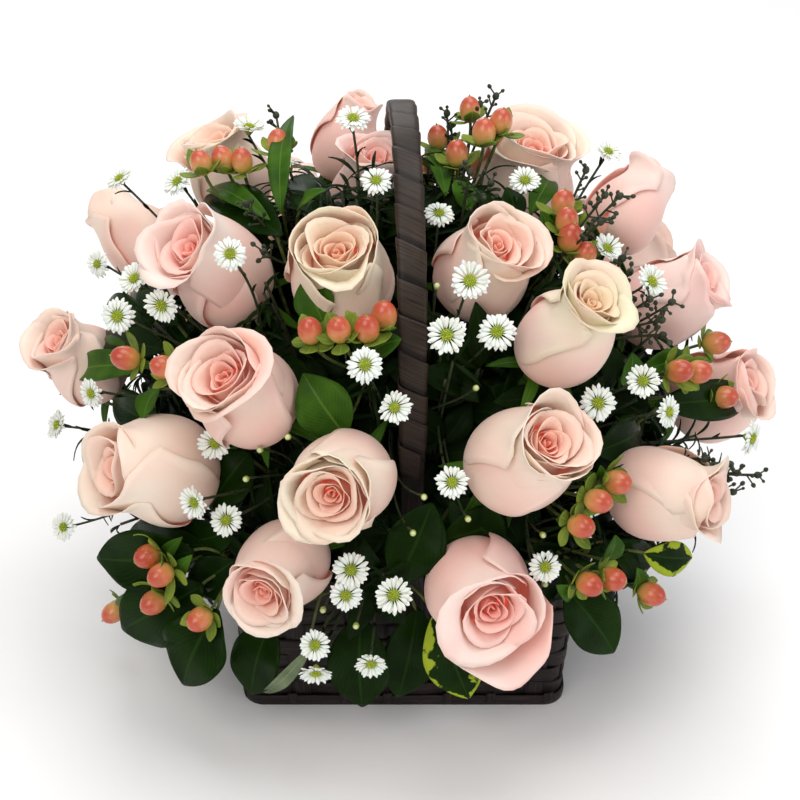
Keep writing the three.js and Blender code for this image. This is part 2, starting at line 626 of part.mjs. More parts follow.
export default arrangement;
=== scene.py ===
# %% [markdown]
# # A basket of roses
# A florist's table arrangement: blush roses, coral hypericum berries, small white asters, dark bud twigs
# and glossy leaves stand in wet foam, in a square basket of dark wood splints with a bound hoop handle. The
# solid frame with every piece at its real size is already packed. This lesson gives each piece its fine
# shape and its finish.

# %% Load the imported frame
import math

import bpy
import numpy as np
from mathutils import Matrix


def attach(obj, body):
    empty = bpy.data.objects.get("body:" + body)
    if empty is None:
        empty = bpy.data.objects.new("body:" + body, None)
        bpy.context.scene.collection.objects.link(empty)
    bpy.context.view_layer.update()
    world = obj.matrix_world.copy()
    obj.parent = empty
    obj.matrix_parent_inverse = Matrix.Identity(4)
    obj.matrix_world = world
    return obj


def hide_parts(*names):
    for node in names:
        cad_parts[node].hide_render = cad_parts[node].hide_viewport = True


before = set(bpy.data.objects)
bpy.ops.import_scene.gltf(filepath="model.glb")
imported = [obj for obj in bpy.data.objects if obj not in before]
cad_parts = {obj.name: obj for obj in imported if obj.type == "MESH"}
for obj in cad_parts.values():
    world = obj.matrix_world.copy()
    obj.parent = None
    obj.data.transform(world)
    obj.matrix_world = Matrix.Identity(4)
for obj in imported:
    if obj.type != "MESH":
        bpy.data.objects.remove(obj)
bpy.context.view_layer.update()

# %% [markdown]
# ## Where things are seen
# The flowers are laid out as the customer sees them, from a metre away and 30 degrees up. A place seen is a
# pixel of an 800-pixel picture whose plane stands through the aim point. The heads lie on a dome, an
# ellipsoid round a point just above the foam, so a pixel and a lift over the dome give a place in space.
# Working this way, and not by scattering flowers at random, keeps each flower in the gap that it fills on
# the real arrangement.

# %% The viewer and the dome
MM = 0.001
AIM = np.array([-2.0, 0.0, 142.0]) * MM
EYE_DISTANCE = 1.0
EYE_ELEVATION = math.radians(30)
PICTURE_SIDE = 800
PIXEL = 0.55 * MM  # at the aim point
DOME_MIDDLE = np.array([0.0, 0.0, 105.0]) * MM
DOME_RADII = np.array([172.0, 138.0, 165.0]) * MM
ROOT_HEIGHT, ROOT_LEVEL, ROOT_RISE = 62, 75, 0.2  # a stem under a flower 75 mm up ends 62 mm up, in the foam

VIEW_RIGHT = np.array([1.0, 0.0, 0.0])
VIEW_UP = np.array([0.0, math.sin(EYE_ELEVATION), math.cos(EYE_ELEVATION)])
VIEW_TOWARDS = np.array([0.0, -math.cos(EYE_ELEVATION), math.sin(EYE_ELEVATION)])
EYE = AIM + VIEW_TOWARDS * EYE_DISTANCE


def unit(vector):
    vector = np.asarray(vector, float)
    return vector / np.linalg.norm(vector)


def mix(a, b, share):
    return np.asarray(a) * (1 - share) + np.asarray(b) * share


def seen_direction(right, up, towards):
    """A direction given as the viewer sees it."""
    return unit(VIEW_RIGHT * right + VIEW_UP * up + VIEW_TOWARDS * towards)


def sight(across, down):
    """The line of sight through a pixel."""
    middle = PICTURE_SIDE / 2
    return seen_direction((across - middle) * PIXEL, (middle - down) * PIXEL, -EYE_DISTANCE)


def at_depth(seen, back):
    """The point on a line of sight that lies a given way back, along Y."""
    line = sight(*seen)
    return EYE + line * (back - EYE[1]) / line[1]


def on_dome(across, down, lift):
    """Where a line of sight meets the dome, grown by a lift in millimetres, or passes it closest."""
    radii = DOME_RADII + lift * MM
    start = (EYE - DOME_MIDDLE) / radii
    line = sight(across, down)
    scaled = line / radii
    half = start @ scaled / (scaled @ scaled)
    inside = half * half - (start @ start - 1) / (scaled @ scaled)
    return EYE + line * (-half - math.sqrt(max(0.0, inside)))


def on_side(azimuth, height, lift):
    """A place on any side of the dome: degrees round from the right, degrees up from its middle, and lift."""
    a, h = math.radians(azimuth), math.radians(height)
    out = np.array([math.cos(a) * math.cos(h), math.sin(a) * math.cos(h), math.sin(h)])
    return DOME_MIDDLE + out * (DOME_RADII + lift * MM)


def outward(point):
    return unit((point - DOME_MIDDLE) / DOME_RADII**2)


def root_of(point, share):
    """Where a stem ends in the foam: drawn in towards the middle from below its flower."""
    height = (ROOT_HEIGHT + ROOT_RISE * (point[2] / MM - ROOT_LEVEL)) * MM
    return np.array([share * point[0], share * point[1], height])


print("eye at", np.round(EYE, 3), "looking at", AIM)

# %% [markdown]
# ## One way to make every sheet
# Petals, leaves, splints and film are all thin sheets, and stems are tubes. Both are grids of points. One
# collector takes grids, closes thin sheets on both sides so that they are real solids, and joins them into
# one mesh for each piece. Blender's own primitives would need as many modifiers as there are petals. It
# also stores what the materials need to know at each point: two colour attributes, called look and tone,
# and a UV map in real sizes.

# %% Grids into meshes
class Sheets:
    """Collects grids of points, in metres, into one mesh."""

    def __init__(self):
        self.points, self.faces, self.slots = [], [], []
        self.looks, self.tones, self.uvs = [], [], []
        self.count = 0

    def grid(self, points, slot=0, look=0.0, tone=0.0, uv=None, wrap=False, flip=False):
        """Adds one sheet with no thickness. wrap joins its last column to its first."""
        rows, cols = points.shape[:2]
        self.points.append(points.reshape(-1, 3))
        self.looks.append(np.broadcast_to(look, (rows, cols, 4)).reshape(-1, 4))
        self.tones.append(np.broadcast_to(tone, (rows, cols, 4)).reshape(-1, 4))
        if uv is None:
            uv = np.stack(np.meshgrid(np.arange(cols), np.arange(rows)), axis=-1) * 10 * MM
        self.uvs.append(uv.reshape(-1, 2))
        i, j = np.meshgrid(np.arange(rows - 1), np.arange(cols if wrap else cols - 1), indexing="ij")
        a, b = i * cols + j, i * cols + (j + 1) % cols
        quads = np.stack([a, b, b + cols, a + cols], axis=-1).reshape(-1, 4) + self.count
        self.faces.append(quads[:, ::-1] if flip else quads)
        self.slots.append(np.full(len(quads), slot))
        self.count += rows * cols
        return self.count - rows * cols

    def shell(self, points, thickness, slot=0, look=0.0, back_look=None, tone=0.0, uv=None, wrap=False):
        """Adds a closed thin sheet: a front, a back and the rim between them."""
        rows, cols = points.shape[:2]
        across = np.gradient(points, axis=1)
        if wrap:
            across = np.roll(points, -1, axis=1) - np.roll(points, 1, axis=1)
        normal = np.cross(across, np.gradient(points, axis=0))
        normal /= np.linalg.norm(normal, axis=-1, keepdims=True) + 1e-12
        half = np.broadcast_to(thickness, (rows, cols))[..., None] / 2
        back_look = look if back_look is None else back_look
        front = self.grid(points + normal * half, slot, look, tone, uv, wrap)
        back = self.grid(points - normal * half, slot, back_look, tone, uv, wrap, flip=True)

        def strip(a, b):
            quads = np.stack([front + b, front + a, back + a, back + b], axis=-1)
            self.faces.append(quads)
            self.slots.append(np.full(len(quads), slot))

        last = (rows - 1) * cols
        j = np.arange(cols if wrap else cols - 1)
        strip(j, (j + 1) % cols)
        strip(last + (j + 1) % cols, last + j)
        if not wrap:
            i = np.arange(rows - 1) * cols
            strip(i + cols, i)
            strip(i + cols - 1, i + 2 * cols - 1)

    def tube(self, path, radius, sides=6, slot=0):
        """Adds a closed tube along a path of points."""
        path = np.asarray(path, float)
        tangent = np.gradient(path, axis=0)
        tangent /= np.linalg.norm(tangent, axis=1, keepdims=True)
        reference = np.eye(3)[np.argmin(np.abs(tangent).sum(axis=0))]
        side = np.cross(tangent, reference)
        side /= np.linalg.norm(side, axis=1, keepdims=True)
        other = np.cross(tangent, side)
        radius = np.broadcast_to(radius, len(path)).astype(float)
        ends = [0, *range(len(path)), len(path) - 1]
        size = radius[ends]
        size[[0, -1]] = 0.01 * MM
        turn = np.linspace(0, 2 * math.pi, sides, endpoint=False)[None, :, None]
        ring = side[ends][:, None] * np.cos(turn) + other[ends][:, None] * np.sin(turn)
        points = path[ends][:, None] + ring * size[:, None, None]
        self.grid(points, slot, wrap=True, flip=True)

    def turned(self, radii, heights, centre, axis, sides, slot=0, look=0.0, tone=0.0):
        """Adds a lathe shape round an axis through a point. It starts and ends at the axis."""
        basis = frame_of(axis)
        turn = np.linspace(0, 2 * math.pi, sides, endpoint=False)[None, :]
        radii, heights = np.asarray(radii)[:, None], np.asarray(heights)[:, None]
        local = np.stack([radii * np.cos(turn), radii * np.sin(turn), heights + 0 * turn], axis=-1)
        self.grid(local @ basis.T + centre, slot, look, tone, wrap=True)

    def piece(self, name, materials, replaced=()):
        """Makes the collected grids into an object that rides on the one body."""
        points, faces = np.concatenate(self.points), np.concatenate(self.faces)
        mesh = bpy.data.meshes.new(name)
        mesh.vertices.add(len(points))
        mesh.vertices.foreach_set("co", points.ravel())
        mesh.loops.add(faces.size)
        mesh.loops.foreach_set("vertex_index", faces.ravel())
        mesh.polygons.add(len(faces))
        mesh.polygons.foreach_set("loop_start", np.arange(0, faces.size, 4))
        mesh.polygons.foreach_set("material_index", np.concatenate(self.slots))
        mesh.polygons.foreach_set("use_smooth", np.ones(len(faces), dtype=bool))
        for label, values in (("look", self.looks), ("tone", self.tones)):
            attribute = mesh.attributes.new(label, "FLOAT_COLOR", "POINT")
            attribute.data.foreach_set("color", np.concatenate(values).astype(np.float32).ravel())
        uvs = np.concatenate(self.uvs)[faces.ravel()]
        mesh.uv_layers.new(name="UVMap").uv.foreach_set("vector", uvs.astype(np.float32).ravel())
        for material in materials:
            mesh.materials.append(material)
        mesh.update(calc_edges=True)
        mesh.validate()
        made = bpy.data.objects.new(name, mesh)
        bpy.context.collection.objects.link(made)
        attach(made, "root")
        if replaced:
            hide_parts(*replaced)
        return made


def frame_of(axis, up=(0.0, 0.0, 1.0)):
    """Columns: side, a second side as near as can be to up, and the axis."""
    axis = unit(axis)
    side = np.cross(up, axis)
    if np.linalg.norm(side) < 1e-3:
        side = np.cross((1.0, 0.0, 0.0), axis)
    side = unit(side)
    return np.stack([side, np.cross(axis, side), axis], axis=1)


def four(first, second=0.0, third=0.0, fourth=0.0):
    """The four numbers of a look, at each point."""
    return np.stack(np.broadcast_arrays(first, second, third, fourth), axis=-1)


def smooth(x, low, high):
    """0 below low, 1 above high, and an even turn between."""
    x = np.clip((x - low) / (high - low), 0, 1)
    return x * x * (3 - 2 * x)


def bezier(a, b, c, steps):
    """Points along a curve that leaves a towards b and reaches c from b."""
    t = np.linspace(0, 1, steps)[:, None]
    return np.asarray(a) * (1 - t) ** 2 + np.asarray(b) * 2 * t * (1 - t) + np.asarray(c) * t**2


print("halfway through its turn, smooth gives", smooth(0.5, 0.0, 1.0))

# %% [markdown]
# ## Finishes
# Colours are written as they look on a screen, in hex, and one function turns them into the linear light
# that the renderer adds up. Another adds a shader node with its settings and its links. The last two make
# whole finishes: one whose colour and relief follow a pattern, and one whose colour follows a stored number.

# %% Colour and node helpers
def colour(text):
    """An sRGB hex colour as linear red, green and blue, and a full alpha."""
    parts = [int(text[i : i + 2], 16) / 255 for i in (1, 3, 5)]
    return [p / 12.92 if p <= 0.04045 else ((p + 0.055) / 1.055) ** 2.4 for p in parts] + [1.0]


def connect(tree, value, socket):
    """Feeds a socket with a value, with another socket, or with the first output in use of a node."""
    if isinstance(value, bpy.types.Node):
        value = next(output for output in value.outputs if output.enabled)
    if isinstance(value, bpy.types.NodeSocket):
        tree.links.new(value, socket)
    else:
        socket.default_value = value


def node(tree, kind, inputs=None, stops=None, **settings):
    """Adds a node. inputs says what feeds each socket, and stops fills a colour ramp."""
    made = tree.nodes.new("ShaderNode" + kind)
    for name, value in settings.items():
        setattr(made, name, value)
    for name, value in (inputs or {}).items():
        connect(tree, value, made.inputs[name])
    for i, (position, text) in enumerate(stops or []):
        ramp = made.color_ramp.elements
        stop = ramp[i] if i < 2 else ramp.new(position)
        stop.position = position
        stop.color = colour(text)
    return made


def material(name, **settings):
    """A new material with its tree and its shader, and the shader's own settings."""
    made = bpy.data.materials.new(name)
    made.use_nodes = True
    shader = made.node_tree.nodes["Principled BSDF"]
    for label, value in settings.items():
        shader.inputs[label.replace("_", " ")].default_value = value
    return made, made.node_tree, shader


def look_of(tree, name="look"):
    """The four numbers stored at each point, as sockets."""
    attribute = node(tree, "Attribute", attribute_name=name)
    parts = node(tree, "SeparateColor", {"Color": attribute.outputs["Color"]})
    return [parts.outputs[i] for i in range(3)] + [attribute.outputs["Alpha"]]


def dress(tree, shader, base, height=None, strength=0.0, distance=0.0):
    """Gives the shader its colour and, where there is a pattern of heights, its relief."""
    connect(tree, base, shader.inputs["Base Color"])
    if height:
        bump = node(tree, "Bump", {"Height": height, "Strength": strength, "Distance": distance})
        connect(tree, bump, shader.inputs["Normal"])


def patterned(name, kind, scale, detail, stops, strength, distance, **settings):
    """A finish whose colour and relief both follow one pattern, whose scale is in features per metre."""
    made, tree, shader = material(name, **settings)
    spot = node(tree, "TexCoord")
    pattern = node(tree, kind, {"Vector": spot.outputs["Object"], "Scale": scale, "Detail": detail})
    dress(tree, shader, node(tree, "ValToRGB", {"Fac": pattern}, stops), pattern, strength, distance)
    return made


def graded(name, stops, **settings):
    """A finish whose colour follows the first number stored at each point."""
    made, tree, shader = material(name, **settings)
    dress(tree, shader, node(tree, "ValToRGB", {"Fac": look_of(tree)[0]}, stops))
    return made


print("red #ff0000 is", colour("#ff0000"))

# %% [markdown]
# ### Rose petals
# A petal is living tissue full of water: light goes in, scatters and comes out warmer, and tiny cone-shaped
# cells make it velvety, so it has hardly any gloss. The heart is deep salmon, the outer petals fade to
# blush, the rims are cream, and the foot of each petal is a greenish cream. The look attribute tells how
# far up the petal a point is, how far out the petal stands, how near its rim it is and which face it is on.

# %% Rose petal material
def petal_material():
    made, tree, shader = material(
        "velvety_rose_petal",
        Roughness=0.52,
        IOR=1.4,
        Specular_IOR_Level=0.35,
        Subsurface_Weight=0.08,
        Subsurface_Scale=0.0015,
        Subsurface_Radius=(1.0, 0.5, 0.4),
        Sheen_Weight=0.12,
        Sheen_Roughness=0.4,
        Emission_Strength=0.24,
    )
    height, layer, rim, face = look_of(tree)
    cream, green, blush, _ = look_of(tree, "tone")
    # Down in the heart the tissue is deepest, so the lower half of an inner face counts as nearer to it.
    depth = node(tree, "MapRange", {"Value": height, "From Min": 0.95, "From Max": 0.45, "To Max": -0.45})
    nearer = node(tree, "Math", {0: layer, 1: depth}, operation="ADD")
    inside = node(
        tree, "ValToRGB", {"Fac": nearer},
        [(0.0, "#fa7058"), (0.2, "#fc8f79"), (0.45, "#fdb09f"), (0.75, "#fcc9bb"), (1.0, "#fbdcd1")],
    )
    outside = node(
        tree, "ValToRGB", {"Fac": layer},
        [(0.0, "#f6937f"), (0.25, "#f0a897"), (0.5, "#e6b3a4"), (0.75, "#e2bdaf"), (1.0, "#e6cabd")],
    )
    body = node(
        tree, "Mix", {0: face, 6: outside, 7: inside}, data_type="RGBA",
    )
    # Each lip fades to a paler colour, from salmon in the heart to cream on the guard petals.
    lip = node(
        tree, "ValToRGB", {"Fac": layer},
        [(0.0, "#fba28f"), (0.2, "#fcb5a5"), (0.5, "#fdd2c5"), (0.75, "#ffe8de"), (1.0, "#fff3ea")],
    )
    fade = node(tree, "Math", {0: rim, 1: 0.85}, operation="MULTIPLY")
    paled = node(tree, "Mix", {0: fade, 6: body, 7: lip}, data_type="RGBA")
    foot = node(tree, "MapRange", {"Value": height, "From Min": 0.3, "From Max": 0.0, "To Max": 0.6})
    footed = node(tree, "Mix", {0: foot, 6: paled, 7: colour("#e3d3a4")}, data_type="RGBA")
    creamed = node(tree, "Math", {0: cream, 1: nearer}, operation="MULTIPLY", use_clamp=True)
    creamed = node(tree, "Math", {0: creamed, 1: 0.6}, operation="MULTIPLY")
    warm = node(tree, "Mix", {0: creamed, 6: footed, 7: colour("#f3dcc2")}, data_type="RGBA")
    tint = node(tree, "Math", {0: green, 1: rim}, operation="MULTIPLY")
    tinted = node(tree, "Mix", {0: tint, 6: warm, 7: colour("#dfe0ac")}, data_type="RGBA")
    # Veins run from foot to rim, about 0.9 mm apart, and fan out with the petal.
    place = node(tree, "UVMap", uv_map="UVMap")
    run = node(tree, "Mapping", {"Vector": place, "Scale": (1100.0, 45.0, 1.0)})
    vein = node(tree, "TexNoise", {"Vector": run, "Scale": 1.0, "Detail": 3.0, "Roughness": 0.6})
    shade = node(tree, "MapRange", {"Value": vein, "From Min": 0.3, "From Max": 0.7, "To Min": 0.93})
    veined = node(
        tree, "Mix", {0: 0.32, 6: tinted, 7: shade}, data_type="RGBA", blend_type="MULTIPLY",
    )
    # Slow patches of pinker and creamier tissue, a few centimetres wide.
    spot = node(tree, "TexCoord")
    patch = node(tree, "TexNoise", {"Vector": spot.outputs["Object"], "Scale": 32.0, "Detail": 1.0})
    spotted = node(tree, "MapRange", {"Value": patch, "From Min": 0.42, "From Max": 0.66, "To Max": 0.3})
    pink = node(tree, "Math", {0: blush, 1: 0.45, 2: spotted}, operation="MULTIPLY_ADD")
    blushed = node(tree, "Mix", {0: pink, 6: veined, 7: colour("#fabdb6")}, data_type="RGBA")
    dress(tree, shader, blushed, vein, strength=0.12, distance=0.6 * MM)
    # Daylight soaks through the stacked petals and comes out coral between them, deeper than a render's few
    # bounces of light reach. A faint glow low in the head, and never on its outside, stands for it.
    low = node(tree, "MapRange", {"Value": height, "From Min": 0.97, "From Max": 0.6})
    outside_share = node(tree, "Math", {0: 1.0, 1: face}, operation="SUBTRACT")
    bare = node(tree, "Math", {0: outside_share, 1: layer}, operation="MULTIPLY")
    hidden = node(tree, "MapRange", {"Value": bare, "From Min": 0.95, "From Max": 0.75})
    amount = node(tree, "Math", {0: low, 1: hidden}, operation="MULTIPLY")
    coral = node(tree, "ValToRGB", {"Fac": layer}, [(0.0, "#ff6a4a"), (0.6, "#c4705c"), (1.0, "#7a5548")])
    glow = node(tree, "Mix", {0: amount, 6: colour("#000000"), 7: coral}, data_type="RGBA")
    connect(tree, glow, shader.inputs["Emission Color"])
    return made


PETAL = petal_material()
print("made", PETAL.name)

# %% [markdown]
# ### Leaves, sepals and stems
# A leaf's upper skin is waxed, so it shines, and it is dark because most light is used up inside. The
# midrib and the side veins are paler and sunk in. Young tissue, such as the bracts under a berry, is
# yellower and duller. One recipe with different colours does for all green parts, because they are the same
# tissue.

# %% Green materials
VARIEGATED = "#9aad2f"


def leaf_material(name, dark, light, rib, shine):
    made, tree, shader = material(name, Roughness=shine, IOR=1.45, Specular_IOR_Level=0.07)
    along, across, _, patch = look_of(tree)
    spot = node(tree, "TexCoord")
    mottle = node(tree, "TexNoise", {"Vector": spot.outputs["Object"], "Scale": 60.0, "Detail": 4.0})
    tissue = node(tree, "ValToRGB", {"Fac": mottle}, [(0.3, dark), (0.72, light)])
    # Side veins leave the midrib at a slant, twelve to a leaf, and the tissue between them swells a little.
    slant = node(tree, "Math", {0: across, 1: -0.55, 2: along}, operation="MULTIPLY_ADD")
    beat = node(tree, "Math", {0: slant, 1: 75.0}, operation="MULTIPLY")
    wave = node(tree, "Math", {0: beat}, operation="SINE")
    swell = node(tree, "MapRange", {"Value": wave, "From Min": 0.8, "From Max": 1.0, "To Max": 0.22})
    veined = node(tree, "Mix", {0: swell, 6: tissue, 7: colour(rib)}, data_type="RGBA")
    middle = node(tree, "MapRange", {"Value": across, "From Min": 0.07, "From Max": 0.02, "To Max": 0.6})
    ribbed = node(tree, "Mix", {0: middle, 6: veined, 7: colour(rib)}, data_type="RGBA")
    torn = node(tree, "TexNoise", {"Vector": spot.outputs["Object"], "Scale": 110.0, "Detail": 3.0})
    uneven = node(tree, "Math", {0: torn, 1: patch}, operation="ADD")
    mask = node(tree, "MapRange", {"Value": uneven, "From Min": 1.02, "From Max": 1.07})
    final = node(tree, "Mix", {0: mask, 6: ribbed, 7: colour(VARIEGATED)}, data_type="RGBA")
    height = node(tree, "Math", {0: swell, 1: mottle}, operation="ADD")
    dress(tree, shader, final, height, strength=0.35, distance=0.5 * MM)
    return made


LEAF = leaf_material("waxed_broad_leaf", "#0b1d03", "#172f07", "#244210", 0.27)
SOFT_LEAF = leaf_material("young_soft_leaf", "#234310", "#43691a", "#5f8030", 0.33)
DARK_LEAF = leaf_material("shaded_filler_leaf", "#091703", "#142806", "#1d350e", 0.45)
UNDERSIDE = leaf_material("leaf_underside", "#46563a", "#7c8a6b", "#97a387", 0.5)
BRACT = leaf_material("berry_bract", "#56702a", "#8b9c3c", "#a9b65a", 0.4)


def stem_material(name, low, high, rough):
    """Fibrous green or woody stalk, with fine streaks."""
    return patterned(
        name, "TexNoise", 220.0, 4.0, [(0.3, low), (0.7, high)], 0.4, 0.4 * MM,
        Roughness=rough, IOR=1.45, Specular_IOR_Level=0.4,
    )


ROSE_STEM = stem_material("rose_stem_skin", "#1f3314", "#3c5a26", 0.45)
FINE_STEM = stem_material("aster_stem_skin", "#1f2617", "#3b4428", 0.6)
BERRY_STEM = stem_material("berry_stem_skin", "#36401c", "#5d6a32", 0.5)
BUD = stem_material("dark_bud_scale", "#1a2116", "#3c4630", 0.6)
print("made", len(bpy.data.materials), "materials so far")

# %% [markdown]
# ### Berries
# A hypericum berry has a thin, tight and glossy skin over firm flesh. It ripens from a yellow-green
# shoulder at its bracts to coral red at its tip. A clear coat over a slightly scattering base gives the
# small, sharp highlights.

# %% Berry material
def berry_material():
    made, tree, shader = material(
        "glossy_coral_berry",
        Roughness=0.32,
        IOR=1.45,
        Coat_Weight=0.45,
        Coat_Roughness=0.12,
        Subsurface_Weight=0.15,
        Subsurface_Scale=0.002,
        Subsurface_Radius=(1.0, 0.3, 0.15),
    )
    height, ripe, _, _ = look_of(tree)
    spot = node(tree, "TexCoord")
    cloud = node(tree, "TexNoise", {"Vector": spot.outputs["Object"], "Scale": 260.0, "Detail": 2.0})
    moved = node(tree, "Math", {0: cloud, 1: 0.3, 2: height}, operation="MULTIPLY_ADD")
    red = node(
        tree, "ValToRGB", {"Fac": moved},
        [(0.15, "#bfae58"), (0.4, "#d49a56"), (0.72, "#cb643e"), (1.0, "#b5432a")],
    )
    gold = node(
        tree, "ValToRGB", {"Fac": moved},
        [(0.2, "#a9ab4c"), (0.52, "#dab469"), (0.85, "#dc8d58"), (1.0, "#cb5f40")],
    )
    skin = node(tree, "Mix", {0: ripe, 6: gold, 7: red}, data_type="RGBA")
    dress(tree, shader, skin, cloud, strength=0.1, distance=0.4 * MM)
    return made


BERRY = berry_material()
print("made", BERRY.name)

# %% [markdown]
# ### Asters
# The rays are thin white straps that let light through, faintly green where they meet the eye. The eye is a
# dome of tiny yellow-green florets, rough and matt.

# %% Aster materials
RAY = graded(
    "white_aster_ray", [(0.0, "#d5dcae"), (0.3, "#f4f6ea"), (1.0, "#fbfbf6")],
    Roughness=0.55, IOR=1.4, Subsurface_Weight=0.2, Subsurface_Scale=2 * MM,
)
AST_EYE = graded("aster_eye_floret", [(0.0, "#7d9420"), (1.0, "#c9cc45")], Roughness=0.7, IOR=1.4)
print("made", RAY.name, "and", AST_EYE.name)

# %% [markdown]
# ### Splints
# The basket is woven from wood shaved into splints and stained dark brown. Shaving leaves long straight
# fibres, and the stain sits darker in the grooves between them. The grain runs along each splint, so it is
# drawn in the UV map, whose first direction follows the splint. Real fibres are about 0.3 mm apart. They
# are drawn at 0.8 mm, because finer ones don't show in the picture.

# %% Splint materials
def splint_material(name, groove, face, worn, rough, relief):
    made, tree, shader = material(name, Roughness=rough, IOR=1.5, Specular_IOR_Level=0.2)
    place = node(tree, "UVMap", uv_map="UVMap")
    run = node(tree, "Mapping", {"Vector": place, "Scale": (40.0, 1200.0, 1.0)})
    fibre = node(tree, "TexNoise", {"Vector": run, "Scale": 1.0, "Detail": 5.0, "Roughness": 0.65})
    wood = node(tree, "ValToRGB", {"Fac": fibre}, [(0.3, groove), (0.52, face), (0.75, worn)])
    spot = node(tree, "TexCoord")
    stain = node(tree, "TexNoise", {"Vector": spot.outputs["Object"], "Scale": 45.0, "Detail": 2.0})
    dull = node(tree, "MapRange", {"Value": stain, "From Min": 0.3, "From Max": 0.7, "To Min": 0.6})
    final = node(
        tree, "Mix", {0: 0.8, 6: wood, 7: dull}, data_type="RGBA", blend_type="MULTIPLY",
    )
    # The first number of look darkens the wood towards the groove colour: dirt and painted shade in the
    # crease of the winding.
    crease, _, _, _ = look_of(tree)
    stained = node(tree, "Math", {0: crease, 1: 0.95}, operation="MULTIPLY")
    dark = node(tree, "Mix", {0: stained, 6: final, 7: colour(groove)}, data_type="RGBA")
    dress(tree, shader, dark, fibre, strength=relief, distance=0.6 * MM)
    return made


SPLINT = splint_material("dark_stained_splint", "#120e0d", "#2b2422", "#4a403c", 0.45, 0.6)
BINDING = splint_material("brown_binding_splint", "#0d0806", "#3a2e26", "#483b31", 0.42, 0.16)
print("made", SPLINT.name, "and", BINDING.name)

# %% [markdown]
# ### Foam and film
# Wet floral foam is a dark green, crumbly block full of open cells, matt because it has no flat surface.
# The liner is a thin glossy film that keeps the water off the basket.

# %% Foam and film materials
FOAM = patterned(
    "soaked_floral_foam", "TexVoronoi", 900.0, 0.0, [(0.1, "#10240f"), (0.7, "#294a22")], 0.8, 0.8 * MM,
    Roughness=0.85, IOR=1.33,
)
FILM = patterned(
    "thin_liner_film", "TexNoise", 70.0, 3.0, [(0.3, "#10180f"), (0.7, "#26352a")], 0.7, 2 * MM,
    Roughness=0.28, IOR=1.5,
)
print("made", len(bpy.data.materials), "materials in all")

# %% [markdown]
# ## The basket
# The wall is woven from upright stakes and flat weavers. Each weaver passes in front of one stake and
# behind the next, and the row above does the opposite, so both are real ribbons here that sway in and out.
# A pattern painted on a smooth wall would look right from the front only. The wall leans out a little, from
# the base to the rim.

# %% Basket sizes and the path round it
BASE_WIDTH, RIM_WIDTH, BASKET_HEIGHT = 172 * MM, 186 * MM, 88 * MM
CORNER_RADIUS = 10 * MM
BASE_THICKNESS = 4 * MM
STAKES, STAKE_WIDTH = 32, 10 * MM
ROWS = 8
SPLINT_THICKNESS = 1.0 * MM
SWAY = 0.75 * MM  # how far a splint moves in and out as it passes the others
WALL_MIDDLE = -1.35 * MM
STEPS_ROUND = 384


def width_at(height):
    return BASE_WIDTH + (RIM_WIDTH - BASE_WIDTH) * height / BASKET_HEIGHT


def around(turn, height, out):
    """A point beside the wall: turn is 0 to 1 once round, and out is the distance outside the wall's face."""
    turn, height, out = np.broadcast_arrays(turn, height, out)
    width = width_at(height)
    side = width - 2 * CORNER_RADIUS
    quarter = side + CORNER_RADIUS * math.pi / 2
    place = (turn % 1.0) * 4
    corner = np.floor(place)
    along = (place - corner) * quarter - side / 2
    bend = np.clip((along - side / 2) / CORNER_RADIUS, 0, math.pi / 2)
    x = np.minimum(along, side / 2) + CORNER_RADIUS * np.sin(bend) + out * np.sin(bend)
    y = -(width / 2 - CORNER_RADIUS) - (CORNER_RADIUS + out) * np.cos(bend)
    angle = corner * math.pi / 2
    c, s = np.cos(angle), np.sin(angle)
    return np.stack([x * c - y * s, x * s + y * c, height], axis=-1)


PERIMETER = 4 * (BASE_WIDTH - 2 * CORNER_RADIUS) + 2 * math.pi * CORNER_RADIUS
print("once round the base is", round(PERIMETER, 3), "m")

# %% [markdown]
# The splints are crowned: a little thicker along their middle, as shaved wood is. Each weaver also wanders
# up and down by a third of a millimetre, and no two gaps between rows are quite alike.

# %% Wall of stakes and weavers
rng = np.random.default_rng(41)


def ribbon_round(sheets, low, high, out, lift=0.0, thickness=SPLINT_THICKNESS):
    """A flat splint once round the basket. out and lift may change along the way."""
    turn = np.linspace(0, 1, STEPS_ROUND, endpoint=False)[None, :]
    across = np.linspace(0, 1, 5)[:, None]
    crown = 0.25 * MM * (1 - (2 * across - 1) ** 2)
    points = around(turn, low + (high - low) * across + lift, out + crown)
    uv = np.stack(np.broadcast_arrays(turn * PERIMETER, across * (high - low) + low * 3), axis=-1)
    sheets.shell(points, thickness, uv=uv, wrap=True)


def stake(sheets, number, low, high, row):
    """A flat splint that stands in the wall. It sways against the weavers, whose rows are a row high."""
    turn = number / STAKES
    height = np.linspace(low, high, 25)[:, None]
    side = np.linspace(-0.5, 0.5, 5)[None, :]
    crown = 0.2 * MM * (1 - (2 * side) ** 2)
    out = WALL_MIDDLE - SWAY * np.cos(math.pi * (number + (height - low) / row - 0.5))
    points = around(turn + side * STAKE_WIDTH / PERIMETER, height, out + crown)
    uv = np.stack(np.broadcast_arrays(height + 7 * turn, side * STAKE_WIDTH), axis=-1)
    sheets.shell(points, SPLINT_THICKNESS, uv=uv)


def basket_wall():
    sheets = Sheets()
    low, high = BASE_THICKNESS + 0.6 * MM, BASKET_HEIGHT - 0.6 * MM
    row = (high - low) / ROWS
    turn = np.linspace(0, 1, STEPS_ROUND, endpoint=False)[None, :]
    for k in range(ROWS):
        sway = SWAY * np.cos(math.pi * (turn * STAKES + k))
        waver = 0.35 * MM * np.sin(2 * math.pi * (turn * 7 + rng.uniform()))
        gap = rng.uniform(0.25, 0.55) * MM
        ribbon_round(sheets, low + k * row + gap, low + (k + 1) * row - gap, WALL_MIDDLE + sway, waver)
    for number in range(STAKES):
        stake(sheets, number, low, high, row)
    return sheets.piece("basket_wall_weave", [SPLINT], ["basket_wall"])


